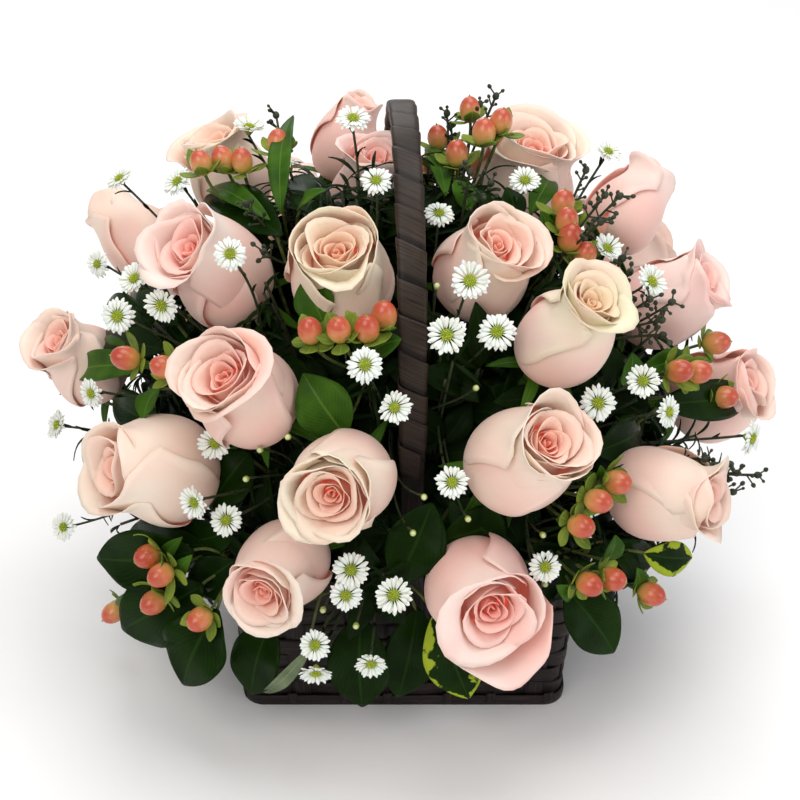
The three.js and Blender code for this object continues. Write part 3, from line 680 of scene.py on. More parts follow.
wall = basket_wall()
print(wall.name, len(wall.data.polygons), "faces")

# %% [markdown]
# The real rim is two bands, one on each side of the wall. Here the band outside is made, lashed by a narrow
# splint that goes over and over the top of the wall. The foot has a band of its own, tied down every few
# centimetres. The bottom is a plain over-and-under weave.

# %% Rim, foot and bottom
# How a lash runs over the rim and a tie over the foot: millimetres out from the wall, and up.
LASHES, TIES, LASH_THICKNESS = 44, 24, 0.6 * MM
LASH_PATH = np.array([
    (1.9, -12.4), (2.7, -11), (2.8, -6), (2.8, -1), (1.9, 0.75), (0.2, 0.95), (-1.6, 0.75), (-2.9, -0.4),
]) * MM
TIE_PATH = np.array([(1.0, 8.2), (1.75, 7), (1.9, 4), (1.75, 1.0), (1.4, 0.4)]) * MM


def rim_band():
    sheets = Sheets()
    ribbon_round(sheets, BASKET_HEIGHT - 12 * MM, BASKET_HEIGHT, 1.3 * MM, thickness=1.6 * MM)
    out, height = LASH_PATH[:, :1], BASKET_HEIGHT + LASH_PATH[:, 1:]
    side = np.linspace(-0.5, 0.5, 4)[None, :] * 6.5 * MM / PERIMETER
    run = np.linspace(0, 0.5, len(out))[:, None] / LASHES
    grain = np.linspace(0, 30 * MM, len(out))[:, None]
    for i in range(LASHES):
        turn = (i + rng.uniform(-0.08, 0.08)) / LASHES + run + side
        uv = np.stack(np.broadcast_arrays(grain + i, side * PERIMETER), axis=-1)
        sheets.shell(around(turn, height, out), LASH_THICKNESS, uv=uv)
    return sheets.piece("basket_rim_lashed", [SPLINT], ["basket_rim_band"])


def foot_band():
    sheets = Sheets()
    ribbon_round(sheets, 0.1 * MM, 6.6 * MM, 0.95 * MM, thickness=1.2 * MM)
    out, height = TIE_PATH[:, :1], TIE_PATH[:, 1:]
    side = np.linspace(-0.5, 0.5, 4)[None, :] * 5 * MM / PERIMETER
    for i in range(TIES):
        turn = (i + 0.5 + rng.uniform(-0.1, 0.1)) / TIES + side
        uv = np.stack(np.broadcast_arrays(height + i, side * PERIMETER), axis=-1)
        sheets.shell(around(turn, height, out), LASH_THICKNESS, uv=uv)
    return sheets.piece("basket_foot_tied", [SPLINT], ["basket_foot_band"])


def basket_bottom():
    sheets = Sheets()
    strips, width = 8, 19 * MM
    reach = BASE_WIDTH / 2 - 0.5 * MM
    inner = reach - CORNER_RADIUS
    for crosswise in (False, True):
        for i in range(strips):
            offset = (i - (strips - 1) / 2) * (2 * reach - width) / (strips - 1)
            edge = abs(offset) + width / 2
            half = inner + math.sqrt(max(0.0, CORNER_RADIUS**2 - max(0.0, edge - inner) ** 2))
            along = np.linspace(-half, half, 65)[:, None]
            side = np.linspace(-0.5, 0.5, 4)[None, :] * width
            # Where along its length a strip crosses the others, counted in strips.
            beat = math.pi * (along / (2 * reach - width) * (strips - 1) + (strips - 1) / 2 + i + crosswise)
            height = 2 * MM + 0.95 * MM * np.cos(beat) + 0 * side
            x, y = along + 0 * side, offset + side + 0 * along
            points = np.stack([y, x, height] if crosswise else [x, y, height], axis=-1)
            uv = np.stack(np.broadcast_arrays(along + i, side), axis=-1)
            sheets.shell(points, 0.95 * MM, uv=uv)
    return sheets.piece("basket_bottom_weave", [SPLINT], ["basket_base"])


for made in (rim_band(), foot_band(), basket_bottom()):
    print(made.name, len(made.data.polygons), "faces")

# %% [markdown]
# Inside the wall stands the film, loosely creased, and in it the block of foam that holds every stem. The
# block's edges crumble when it is cut, so they are rounded and a little uneven.

# %% Liner and foam
def liner():
    sheets = Sheets()
    turn = np.linspace(0, 1, 240, endpoint=False)[None, :]
    top = 92
    height = np.linspace(5.5, top, 14)[:, None] * MM
    ripple = np.sin(turn * 2 * math.pi * 31 + 2 * np.sin(turn * 2 * math.pi * 5))
    crease = 0.5 * MM * ripple * (height / (top * MM)) ** 2
    sheets.shell(around(turn, height, -4.6 * MM + crease), 0.4 * MM, wrap=True)
    return sheets.piece("liner_film", [FILM], ["liner"])


def foam_block():
    sheets = Sheets()
    half, low, high, soft = 74 * MM, 5.5 * MM, 116 * MM, 5 * MM
    # Half a section of the block: from the middle below, up the side and over the soft edge to the top.
    profile = [(0, low), (half - 2 * MM, low)] + [(half, low + (high - soft - low) * i / 8) for i in range(9)]
    profile += [(half - soft + soft * math.cos(a), high - soft + soft * math.sin(a)) for a in (0.5, 1.0, 1.5)]
    profile += [(half * 0.7, high), (half * 0.35, high), (0.2 * MM, high)]
    turn = np.linspace(0, 2 * math.pi, 96, endpoint=False)[None, :]
    square = 1 / np.maximum(np.abs(np.cos(turn)), np.abs(np.sin(turn))) ** 0.93
    profile = np.array(profile)
    radius, height = profile[:, :1] * square, profile[:, 1:] + 0 * turn
    crumb = rng.normal(0, 0.35 * MM, radius.shape)
    radius = radius - abs(crumb)
    sheets.grid(np.stack([radius * np.cos(turn), radius * np.sin(turn), height + crumb], axis=-1), wrap=True)
    return sheets.piece("foam_block", [FOAM], ["floral_foam"])


for made in (liner(), foam_block()):
    print(made.name, len(made.data.polygons), "faces")

# %% [markdown]
# ## The handle
# A flat wooden hoop stands over the basket from front to back, pushed down outside the rim. A wide brown
# splint is wound round and round it. Each turn covers the edge of the one before, so an edge always shows
# as a step. The winding here is one real ribbon on a helix that climbs from the wood on to the last turn.

# %% Hoop line
HOOP_WIDE, HOOP_THICK = 11.8 * MM, 4 * MM
HOOP_RADIUS = (186 / 2 + 0.35 + 2.4 + 0.7 + 2) * MM  # half the rim, room, the rim's band, room, half the wood
HOOP_APEX, HOOP_FOOT = 306 * MM, 34 * MM
HOOP_TURN = math.radians(2.5)
WALL_LEAN = (RIM_WIDTH - BASE_WIDTH) / 2 / BASKET_HEIGHT
HOOP_LEG = HOOP_APEX - HOOP_RADIUS
HOOP_LENGTH = 2 * HOOP_LEG + math.pi * HOOP_RADIUS


def hoop_line(along):
    """Middle of the hoop and its outward direction, at a length counted over the table from the front."""
    along = np.asarray(along, float)
    side = np.where(along < HOOP_LENGTH / 2, -1.0, 1.0)
    rest = np.minimum(along, HOOP_LENGTH - along)
    angle = np.clip((rest - HOOP_LEG) / HOOP_RADIUS, 0, math.pi / 2)
    lean = WALL_LEAN * np.maximum(0, BASKET_HEIGHT - rest)
    y = side * (HOOP_RADIUS * np.cos(angle) - lean)
    z = np.minimum(rest, HOOP_LEG) + HOOP_RADIUS * np.sin(angle)
    normal = np.stack([0 * y, side * np.cos(angle), np.sin(angle)], axis=-1)
    return np.stack([0 * y, y, z], axis=-1), normal


print("the hoop is", round(HOOP_LENGTH, 3), "m long")

# %% [markdown]
# The section of the wood is a superellipse: flat, with soft corners. Equal turns round it must be equal
# lengths along its edge, or else a wound splint would change its slope at the corners.

# %% Hoop section
SECTION_POWER = 0.45


def section(angle, grow):
    """Sideways and outward place on the section's edge, which may be grown."""
    c, s = np.cos(angle), np.sin(angle)
    sideways = np.sign(c) * np.abs(c) ** SECTION_POWER * (HOOP_WIDE / 2 + grow)
    return sideways, np.sign(s) * np.abs(s) ** SECTION_POWER * (HOOP_THICK / 2 + grow)


SECTION_ANGLE = np.linspace(0, 2 * math.pi, 721)
SECTION_WAY = np.concatenate([[0], np.cumsum(np.hypot(*np.diff(section(SECTION_ANGLE, MM))))])
SECTION_WAY *= 2 * math.pi / SECTION_WAY[-1]


def hoop_skin(along, turn, grow):
    """A point on the hoop: turn goes once round its section, and grow is the distance off the wood."""
    middle, normal = hoop_line(along)
    sideways, out = section(np.interp(turn % (2 * math.pi), SECTION_WAY, SECTION_ANGLE), grow)
    points = middle + normal * out[..., None] + np.array([1.0, 0, 0]) * sideways[..., None]
    c, s = math.cos(HOOP_TURN), math.sin(HOOP_TURN)
    return points @ np.array([[c, -s, 0], [s, c, 0], [0, 0, 1]]).T


print("the wood is", round(2 * section(0.0, 0.0)[0] / MM, 1), "mm wide")

# %% [markdown]
# The ribbon of the winding goes once round for each 17.5 mm of hoop and is 22 mm wide, so a fifth of it
# overlaps.

# %% Hoop and winding
BINDING_END, BINDING_PITCH, BINDING_WIDE = 158 * MM, 17.5 * MM, 22 * MM


def handle_hoop():
    sheets = Sheets()
    along = np.linspace(HOOP_FOOT, HOOP_LENGTH - HOOP_FOOT, 160)[:, None]
    turn = np.linspace(0, 2 * math.pi, 32, endpoint=False)[None, :]
    shape = np.broadcast_shapes(along.shape, turn.shape)
    along, turn = np.broadcast_to(along, shape), np.broadcast_to(turn, shape)
    squeeze = np.zeros(shape)
    squeeze[0] = squeeze[-1] = -1.95 * MM
    uv = np.stack([along, turn * 6 * MM], axis=-1)
    sheets.grid(hoop_skin(along, turn, squeeze), uv=uv, wrap=True)
    return sheets.piece("handle_hoop_wood", [SPLINT], ["handle_hoop"])


def handle_binding():
    sheets = Sheets()
    start, end = BINDING_END, HOOP_LENGTH - BINDING_END
    turns = (end - start) / BINDING_PITCH
    way = np.linspace(0, turns, int(turns * 44))[:, None]
    across = np.array([[0, 0.12, 0.2, 0.25, 0.3, 0.36, 0.5, 0.65, 0.8, 0.93, 1.0]])
    waver = 0.7 * MM * np.sin(way * 2.1) + 0.4 * MM * np.sin(way * 5.3 + 1)
    along = start + way * BINDING_PITCH + (across - 0.5) * BINDING_WIDE * 0.98 + waver
    along = np.clip(along, start - 3 * MM, end + 3 * MM)
    # The edge towards the front lies on the wood, and the other edge climbs over the turn before.
    grow = (0.35 + 0.9 * across + 0.1 * np.sin(way * 9 + across * 7)) * MM
    turn = 2 * math.pi * way + 0.9 + 0 * across
    uv = np.stack(np.broadcast_arrays(way * 41 * MM, across * BINDING_WIDE), axis=-1)
    along, turn, grow = np.broadcast_arrays(along, turn, grow)
    # Stain and dust gather in the crease, just past the edge of the turn that lies over this one. The shade
    # that falls in the crease is painted into the same darker band.
    crease = 1 - smooth(across + 0 * way, 0.25, 0.36)
    sheets.shell(hoop_skin(along, turn, grow), 0.55 * MM, look=four(crease), uv=uv)
    return sheets.piece("handle_binding_wound", [BINDING], ["handle_binding"])


for made in (handle_hoop(), handle_binding()):
    print(made.name, len(made.data.polygons), "faces")

# %% [markdown]
# What grows in the basket must not pass through its wood. Two tests tell which points are too near, and
# each stem tries one bend after another until it passes over the rim and beside the handle.

# %% Room for the handle and the wall
WINDING, RIM_REACH = 1.9 * MM, 4 * MM  # how far the winding and the rim stand out from the wood and the wall


def in_hoop(points, margin):
    """Which points lie in the wound hoop, or nearer to it than a margin."""
    c, s = math.cos(HOOP_TURN), math.sin(HOOP_TURN)
    x, y = points[:, 0] * c + points[:, 1] * s, points[:, 1] * c - points[:, 0] * s
    rise = np.maximum(points[:, 2] - HOOP_LEG, 0)
    out = np.abs(np.hypot(y, rise) - HOOP_RADIUS)
    return (np.abs(x) < HOOP_WIDE / 2 + WINDING + margin) & (out < HOOP_THICK / 2 + WINDING + margin)


def in_wall(points, margin):
    """Which points lie in the basket's wall or rim, or nearer to it than a margin."""
    out = np.abs(np.abs(points[:, :2]).max(axis=1) - width_at(points[:, 2]) / 2)
    return (out < RIM_REACH + margin) & (points[:, 2] < BASKET_HEIGHT + RIM_REACH + margin)


def stem_line(start, bend, end, steps):
    """A stem's curve. Its bend moves up or aside until the stem passes the rim and the hoop, if it can."""
    def meets(trial):
        path = bezier(start, trial, end, 48)
        return (in_wall(path, 2 * MM) | in_hoop(path, MM)).sum()

    pushes = np.array([(0, 0, 1), (1, 0, 0), (-1, 0, 0), (0.7, 0, 0.7), (-0.7, 0, 0.7)]) * MM
    bends = [bend + push * shift for shift in range(0, 102, 6) for push in pushes]
    return bezier(start, min(bends, key=meets), end, steps)


print("the foot of the hoop is in the hoop:", in_hoop(np.array([(0, -HOOP_RADIUS, HOOP_FOOT)]), 0)[0])

# %% [markdown]
# ## Roses
# A rose head is a spiral of petals. Each one starts at the hip, bellies out and rises to its rim. The outer
# petals stay wrapped round the head like staves round a barrel, and only their lips roll back. So one petal
# is made from a side view, a cubic curve whose upper part is rolled back, spread sideways round the head.
# One edge tucks under its neighbour and the other lies over, as in the bud. A cloth simulation could fold
# petals too, but it couldn't be told where each fold of the real roses lies.

# %% One petal
CURVE_SHARES = np.linspace(0, 1.08, 90)[:, None]  # past 1, because a petal's pointed middle is longer
HIP = 3 * MM
LEAST = 0.3 * MM  # no point comes nearer to the head's axis


def side_view(belly, neck, height, roll, curl_from):
    """How far out and how high a petal's midrib runs. roll may differ from column to column."""
    s = CURVE_SHARES
    # The curve's corners: at the hip, low and wide, at the shoulder, and at the neck.
    corners = np.array([
        (HIP, 0), (belly * 1.22, 0.04 * height), (belly * 1.12, 0.66 * height), (neck, height),
    ])
    legs = np.diff(corners, axis=0) * 3
    pull = legs[0] * (1 - s) ** 2 + legs[1] * 2 * (1 - s) * s + legs[2] * s**2
    speed = np.linalg.norm(pull, axis=1)[:, None] * (s[1] - s[0])
    lean = np.arctan2(pull[:, 1], pull[:, 0])[:, None]
    angle = lean - roll * np.clip((s - curl_from) / (1 - curl_from), 0, 1.3) ** 1.4
    start = np.zeros((1, angle.shape[1]))
    out = HIP + np.vstack([start, np.cumsum(speed[:-1] * np.cos(angle[:-1]), axis=0)])
    up = np.vstack([start, np.cumsum(speed[:-1] * np.sin(angle[:-1]), axis=0)])
    return corners, out, up


def petal(theta, half_width, belly, rim, height, roll, curl_from, tuck, lap, point, ripple, rng, cols, rows):
    """A petal in the head's own frame, +Z up its axis, with each point's share of its height and side."""
    u = np.linspace(-1, 1, cols + 1)[None, :]
    v = np.linspace(0, 1, rows + 1)[:, None] ** 0.75  # closer rows towards the rim
    # The top edge falls away to the sides and comes to a small point in the middle.
    t = v * (1 - 0.2 * np.abs(u) ** 2.2 + point * np.exp(-((u / 0.24) ** 2)))
    phase = rng.uniform(0, 2 * math.pi, 3)
    wave = 0.5 * np.sin(1.7 * u * math.pi + phase[0]) + 0.25 * np.sin(3.3 * u * math.pi + phase[1])
    # The roll carries the rim outwards, so the neck is drawn in until the rim ends as far out as asked.
    neck = rim
    for _ in range(3):
        corners, out, up = side_view(belly, neck, height, np.full((1, 1), roll), curl_from)
        neck = max(neck - (np.interp(1.0, CURVE_SHARES[:, 0], out[:, 0]) - rim), LEAST)
    # The lip rolls unevenly, and most at its corners.
    turn = roll * (0.8 + 0.3 * np.abs(u) ** 1.5 + 0.18 * wave)
    corners, out, up = side_view(belly, neck, height, turn, curl_from)
    s = CURVE_SHARES[:, 0]
    radius = np.stack([np.interp(t[:, k], s, out[:, k]) for k in range(cols + 1)], axis=1)
    rise = np.stack([np.interp(t[:, k], s, up[:, k]) for k in range(cols + 1)], axis=1)
    # How far it reaches round the head depends on the girth of its belly, before the roll.
    weights = [(1 - t) ** 3, 3 * (1 - t) ** 2 * t, 3 * (1 - t) * t**2, t**3]
    girth = sum(w * c for w, c in zip(weights, corners[:, 0]))
    spread = half_width * (0.25 + 0.75 * smooth(t, 0, 0.55)) * (1 - 0.08 * smooth(t, 0.8, 1))
    around_head = theta + u * np.minimum(spread / np.maximum(girth, 2.0 * MM), 3.3)
    # One edge tucks in and the other laps over. The rim ripples, with a finer frill on its last fifth.
    radius = radius + tuck * u * smooth(t, 0.1, 0.5) + ripple * wave * smooth(t, 0.6, 1)
    radius = radius + lap * smooth(u, 0.5, 1.0) * smooth(t, 0.3, 0.8)
    rise = rise + ripple * 0.8 * np.sin(2.3 * u * math.pi + phase[2]) * smooth(t, 0.6, 1)
    frill = 0.4 * ripple * np.sin(4.9 * u * math.pi + phase.sum()) * smooth(t, 0.78, 1)
    radius, rise = radius + frill, rise - frill
    radius = np.maximum(radius, LEAST)
    points = np.stack([radius * np.cos(around_head), radius * np.sin(around_head), rise], axis=-1)
    return points, t, np.broadcast_to(u, t.shape)


print("a midrib is followed in", len(CURVE_SHARES), "steps")

# %% [markdown]
# Each petal of a head stands 137.5 degrees on from the one before and a little outside it, so none cuts
# another. From the heart outwards the petals grow longer and wider, stand further out and roll back more.
# The guard petals come last, and they are the ones that are set one by one from how the real rose looks.

# %% A whole head
INNER_PETALS = 11
GOLDEN_ANGLE = math.radians(137.5)
USUAL_WIDTH = 57 * MM  # the petals' widths below, in millimetres, are those of a head this wide


def rose_head(sheets, wide, tall, base, basis, open_share, guards, tone, rng):
    """All petals of one rose, whose base and axes are given."""
    size = wide / 2 - 2 * MM
    scale = wide / USUAL_WIDTH * MM
    heading = rng.uniform(0, 2 * math.pi)

    def add(theta, layer, belly, rim, height, roll, curl_from, half_width, point, ripple, tuck=0.5, lap=0.0):
        cols, rows = (16, 14) if layer < 0.3 else (24, 20)
        points, t, u = petal(
            theta, half_width * scale, belly * size, rim * size, height * tall, roll, curl_from,
            tuck * MM, lap * MM, point, ripple * MM, rng, cols, rows,
        )
        sides = 0.8 * smooth(np.abs(u), 0.75, 1.0) * smooth(t, 0.25, 0.7)
        edge = np.maximum(sides, smooth(t, 0.74 - 0.14 * layer, 0.98))
        outer, inner = four(t, layer, edge, 0.0), four(t, layer, edge, 1.0)
        uv = np.stack([u * half_width * scale * smooth(t, -0.4, 0.7), t * tall], axis=-1)
        thickness = (0.55 - 0.15 * smooth(t, 0.6, 1)) * (1 - 0.3 * np.abs(u) ** 4) * MM
        sheets.shell(points @ basis.T + base, thickness, 0, outer, inner, np.array([*tone, 0]), uv)

    for i in range(INNER_PETALS):
        share = i / (INNER_PETALS - 1)
        layer = 0.75 * share
        wider = mix(0.52, 0.74, open_share)
        add(
            heading + GOLDEN_ANGLE * i + rng.normal(0, 0.2), layer,
            belly=0.14 + 0.68 * share**0.95,
            rim=0.03 + (wider - 0.03) * share**1.3,
            height=(0.94 + 0.06 * share) * rng.uniform(0.98, 1.015),
            roll=mix(0.5, 1.7 + 0.5 * open_share, share**0.7) * rng.uniform(0.85, 1.15),
            curl_from=mix(0.92, 0.8 - 0.16 * open_share, share**0.8),
            half_width=8 + 21 * share, point=0.05 * share, ripple=0.2 + 0.8 * share,
        )
    for i, (clock, rim, roll, reach) in enumerate(guards):
        add(
            math.radians(90 - clock), 1.0, belly=0.92 + 0.02 * i, rim=rim, height=reach, roll=roll + 0.45,
            curl_from=0.8 - 0.16 * open_share, half_width=34, point=0.06, ripple=1.2, tuck=1.6, lap=1.5,
        )


print("a head has", INNER_PETALS, "petals inside its guard petals")

# %% [markdown]
# Under the petals sit the hip, a small green swelling, and five narrow sepals that have bent back. A sepal
# that would cut the handle or the wall is left out. The stem leaves the hip along the head's axis and
# curves down into the foam.

# %% Hip, sepals and stem
def strap(length, wide, lift, droop, rows=9, cols=4, widest=0.35):
    """A narrow leaf or sepal from the origin along +Y, with +Z as its upper face, in metres."""
    t = np.linspace(0, 1, rows)[:, None]
    u = np.linspace(-1, 1, cols + 1)[None, :]
    half = wide / 2 * np.sin(math.pi * np.clip(t, 0.02, 0.985) ** (math.log(0.5) / math.log(widest))) ** 0.8
    x = u * half
    y = length * np.sin(t * (1 - droop * 0.25)) / math.sin(1 - droop * 0.25) + 0 * u
    z = length * (lift * t - droop * t**2) + 0.18 * half * np.abs(u)
    return np.stack([x, y, z], axis=-1), four(t, np.abs(u))


def set_out(blade, angle, distance, lift=0.0):
    """A strap moved out from +Z, to stand at an angle round it."""
    radial = np.array([math.cos(angle), math.sin(angle), 0])
    side = np.array([-math.sin(angle), math.cos(angle), 0])
    flat = blade[..., :1] * side + (blade[..., 1:2] + distance) * radial
    return flat + (blade[..., 2:] + lift) * np.array([0, 0, 1.0])


# Lathe shapes are pairs: the radius, and the height along the axis.
HIP_PROFILE = np.array([
    (0.05, -12), (2.6, -11), (3.6, -8), (4.9, -3.5), (4.6, 1), (3.2, 3.6), (0.05, 4.5),
]) * MM
SEPALS, SEPAL_WIDTH = 5, 6.5 * MM


def rose_foot(sheets, base, axis, bend, root, rng):
    basis = frame_of(axis)
    sheets.turned(*HIP_PROFILE.T, base, axis, 12, slot=1)
    for i in range(SEPALS):
        angle = 2 * math.pi * (i + rng.uniform(-0.1, 0.1)) / SEPALS
        long, lift, droop = rng.uniform(19, 25) * MM, rng.uniform(-0.5, 0.35), rng.uniform(0.2, 0.7)
        blade, look = strap(long, SEPAL_WIDTH, lift, droop)
        sepal = set_out(blade, angle, 3.5 * MM) @ basis.T + base
        if not (in_hoop(sepal.reshape(-1, 3), MM) | in_wall(sepal.reshape(-1, 3), 0)).any():
            sheets.shell(sepal, 0.4 * MM, 1, look)
    sheets.tube(bezier(root, bend, base - axis * 6 * MM, 16), 2.4 * MM, 8, slot=2)


print("the hip is", 2 * HIP_PROFILE[:, 0].max() / MM, "mm thick")

# %% [markdown]
# The table of roses gives, for each one that shows: where its middle is seen, how far back it lies, which
# way it faces for the viewer (right, up, towards), its width and length in millimetres, how open it is, its
# tint (cream, green, pink), and its guard petals. Each guard petal has its place on the face, in degrees
# clockwise from the top, how far out its rim stands as a share of the head's radius, how far its lip rolls,
# and its length as a share. The roses on the far side can't be seen in the picture, so they have only a
# place, a width and a length.

# %% Table of roses
FRONT_ROSES = [
    ((347, 138), 108, (0.35, 0.8, 0.45), 42, 46, 0.1, (0.2, 0.1, 0.6),
     ((20, 0.6, 0.5, 1), (140, 0.65, 0.6, 1), (260, 0.6, 0.5, 1))),
    ((368, 190), 45, (0.22, 0.68, 0.7), 50, 50, 0.5, (0.1, 0.0, 0.6),
     ((280, 0.85, 1.3, 1), (60, 0.7, 0.8, 1), (165, 0.7, 0.6, 1))),
    ((228, 172), 66, (-0.35, 0.8, 0.5), 50, 44, 0.9, (0.5, 0.2, 0.1),
     ((275, 1.15, 1.5, 1), (30, 0.85, 1.2, 1), (120, 1.0, 1.4, 1), (200, 0.8, 0.8, 1))),
    ((136, 238), 46, (-0.6, 0.6, -0.2), 46, 50, 0.3, (0.6, 0.1, 0.3),
     ((310, 0.7, 0.8, 1), (70, 0.7, 0.8, 1), (190, 0.66, 0.5, 1))),
    ((217, 271), -38, (-0.5, 0.42, 0.75), 58, 56, 0.6, (0.2, 0.0, 0.3),
     ((75, 0.86, 0.4, 1.12), (330, 0.75, 1.0, 1), (200, 0.88, 1.8, 1), (270, 0.8, 1.4, 1))),
    ((341, 275), -62, (-0.08, 0.5, 0.85), 58, 48, 0.7, (0.8, 0.3, 0),
     ((275, 0.85, 0.6, 1.02), (60, 0.85, 0.5, 1.02), (160, 0.85, 1.9, 0.95), (215, 0.75, 0.9, 1),
      (350, 0.8, 0.7, 1.04))),
    ((82, 360), -5, (-0.5, 0.45, 0.65), 50, 46, 0.7, (0.4, 0.1, 0.3),
     ((330, 0.8, 1.3, 1), (60, 0.7, 0.7, 1), (180, 0.7, 0.8, 1), (260, 0.85, 1.5, 1))),
    ((243, 393), -100, (-0.35, 0.35, 0.85), 57, 54, 0.6, (0.4, 0.1, 0.5),
     ((10, 0.78, 0.5, 1.06), (110, 1.0, 2.3, 1), (195, 0.8, 1.2, 1), (280, 0.85, 1.2, 1))),
    ((158, 470), -92, (-0.78, 0.05, 0.6), 62, 54, 0.4, (0.6, 0.1, 0),
     ((320, 0.85, 1.5, 1), (60, 0.7, 0.4, 1), (160, 0.7, 0.5, 1), (240, 0.85, 1.4, 1))),
    ((343, 483), -133, (-0.22, -0.22, 0.95), 54, 52, 0.7, (0.6, 0.2, 0),
     ((20, 0.8, 0.5, 1), (75, 0.85, 0.9, 1), (150, 0.9, 1.3, 1), (235, 0.95, 1.4, 1), (310, 0.85, 1.3, 1))),
    ((281, 570), -130, (-0.35, -0.42, 0.85), 51, 52, 0.6, (0.3, 0.1, 0.15),
     ((10, 0.8, 0.6, 1), (100, 0.95, 1.9, 1), (190, 0.85, 1.2, 1), (280, 0.85, 1.2, 1))),
    ((481, 591), -138, (0.2, -0.3, 0.93), 59, 56, 0.5, (0.2, 0.0, 0.7),
     ((330, 0.8, 0.5, 1.02), (90, 0.85, 0.9, 1), (165, 1.3, 0.9, 1.15), (250, 0.95, 2.2, 1.1))),
    ((525, 456), -122, (0.42, 0.28, 0.85), 59, 58, 0.5, (0.7, 0.1, 0.1),
     ((350, 0.8, 0.8, 1.04), (100, 0.8, 1.0, 1), (190, 0.78, 0.8, 1), (265, 0.75, 1.0, 1))),
    ((664, 491), -95, (0.86, -0.12, 0.5), 53, 52, 0.3, (0.7, 0.1, 0.2),
     ((0, 0.85, 1.6, 1), (110, 0.7, 0.6, 1), (185, 0.95, 1.4, 1.02), (270, 0.7, 0.4, 1))),
    ((569, 330), -92, (0.4, 0.5, 0.77), 51, 58, 0.3, (0.2, 0.55, 0.15),
     ((320, 0.85, 1.5, 1), (60, 0.85, 1.7, 1), (150, 0.85, 2.0, 1), (225, 0.75, 1.2, 1))),
    ((484, 268), -46, (0.33, 0.5, 0.8), 54, 48, 0.6, (0.5, 0.2, 0.3),
     ((310, 0.75, 0.5, 1.08), (10, 0.8, 0.7, 1), (95, 1.0, 1.9, 1), (170, 0.85, 1.2, 1),
      (240, 0.75, 0.7, 1))),
    ((524, 177), 48, (0.25, 0.72, 0.65), 64, 46, 0.8, (0.5, 0.12, 0.05),
     ((280, 0.95, 1.9, 1), (20, 0.9, 1.3, 1), (100, 0.9, 1.4, 1), (190, 0.8, 1.5, 1))),
    ((628, 208), 52, (0.55, 0.7, -0.3), 47, 48, 0.4, (0.2, 0.0, 0.7),
     ((30, 0.85, 1.4, 1), (120, 0.8, 1.0, 1), (250, 0.7, 0.5, 1))),
    ((667, 300), -14, (0.76, 0.42, 0.5), 50, 52, 0.3, (0.1, 0.0, 0.8),
     ((350, 0.8, 1.0, 1), (85, 0.8, 1.2, 1), (180, 0.75, 0.8, 1), (265, 0.7, 0.4, 1))),
    ((715, 394), -8, (0.8, 0.25, 0.55), 54, 46, 0.6, (0.3, 0.1, 0.6),
     ((340, 0.85, 1.4, 1), (70, 0.8, 1.0, 1), (170, 0.85, 1.2, 1), (260, 0.7, 0.5, 1))),
]
BACK_ROSES = [
    ((-120, 82, 186), 56, 56),
    ((-63, 114, 198), 55, 55),
    ((15, 136, 168), 58, 56),
    ((64, 114, 206), 55, 56),
    ((120, 84, 178), 57, 56),
    ((-46, 138, 116), 57, 55),
]
print(len(FRONT_ROSES), "roses show, and", len(BACK_ROSES), "are behind")

# %% [markdown]
# The head's own second axis is the viewer's up, so that guard petals can be set as they are seen. On the
# far side the guard petals, the tints and how open the roses are simply follow the count, so that no two
# are alike.

# %% The roses
ROSE_ROOT = 0.3

roses = [
    {"centre": at_depth(seen, back * MM), "axis": seen_direction(*face), "wide": wide * MM, "tall": tall * MM,
     "open": open_share, "tone": tone, "guards": guards}
    for seen, back, face, wide, tall, open_share, tone, guards in FRONT_ROSES
]
for i, (middle, wide, tall) in enumerate(BACK_ROSES):
    middle = np.array(middle) * MM
    guards = [(90 * k + 25 * i, 0.78 + 0.06 * ((k + i) % 3), 0.6 + 0.5 * ((k + i) % 4), 1) for k in range(4)]
    roses.append({"centre": middle, "axis": outward(middle), "wide": wide * MM, "tall": tall * MM,
                  "open": 0.5 + 0.08 * i, "tone": (0.2 + 0.1 * i, 0.1, 0.1 * i), "guards": guards})


def make_rose(number, spec):
    rng = np.random.default_rng(100 + number)
    sheets = Sheets()
    centre, axis, tall = spec["centre"], spec["axis"], spec["tall"]
    base, basis = centre - axis * 0.56 * tall, frame_of(axis, VIEW_UP)
    rose_head(sheets, spec["wide"], tall * 1.04, base, basis, spec["open"], spec["guards"], spec["tone"], rng)
    rose_foot(sheets, base, axis, centre - axis * 1.05 * tall, root_of(centre, ROSE_ROOT), rng)
    name = f"rose_{number:02d}"
    return sheets.piece(name + "_bloom", [PETAL, SOFT_LEAF, ROSE_STEM], [name])


for number, spec in enumerate(roses, start=1):
    made = make_rose(number, spec)
print("roses:", len(roses), "with", len(made.data.polygons), "faces in the last")

# %% [markdown]
# ## Leaves
# A leaf is a sheet that is folded a little along its midrib, arches up from its stalk and droops at its
# tip, and waves at its edges. The broad ones over the rim are the florist's collar: they hide the foam and
# the basket's edge. Each leaf gets a stalk that runs back to the stem that carries it, because a floating
# leaf is what gives away a model.

# %% One leaf
LEAF_WIDEST = 0.48  # how far up a blade is widest


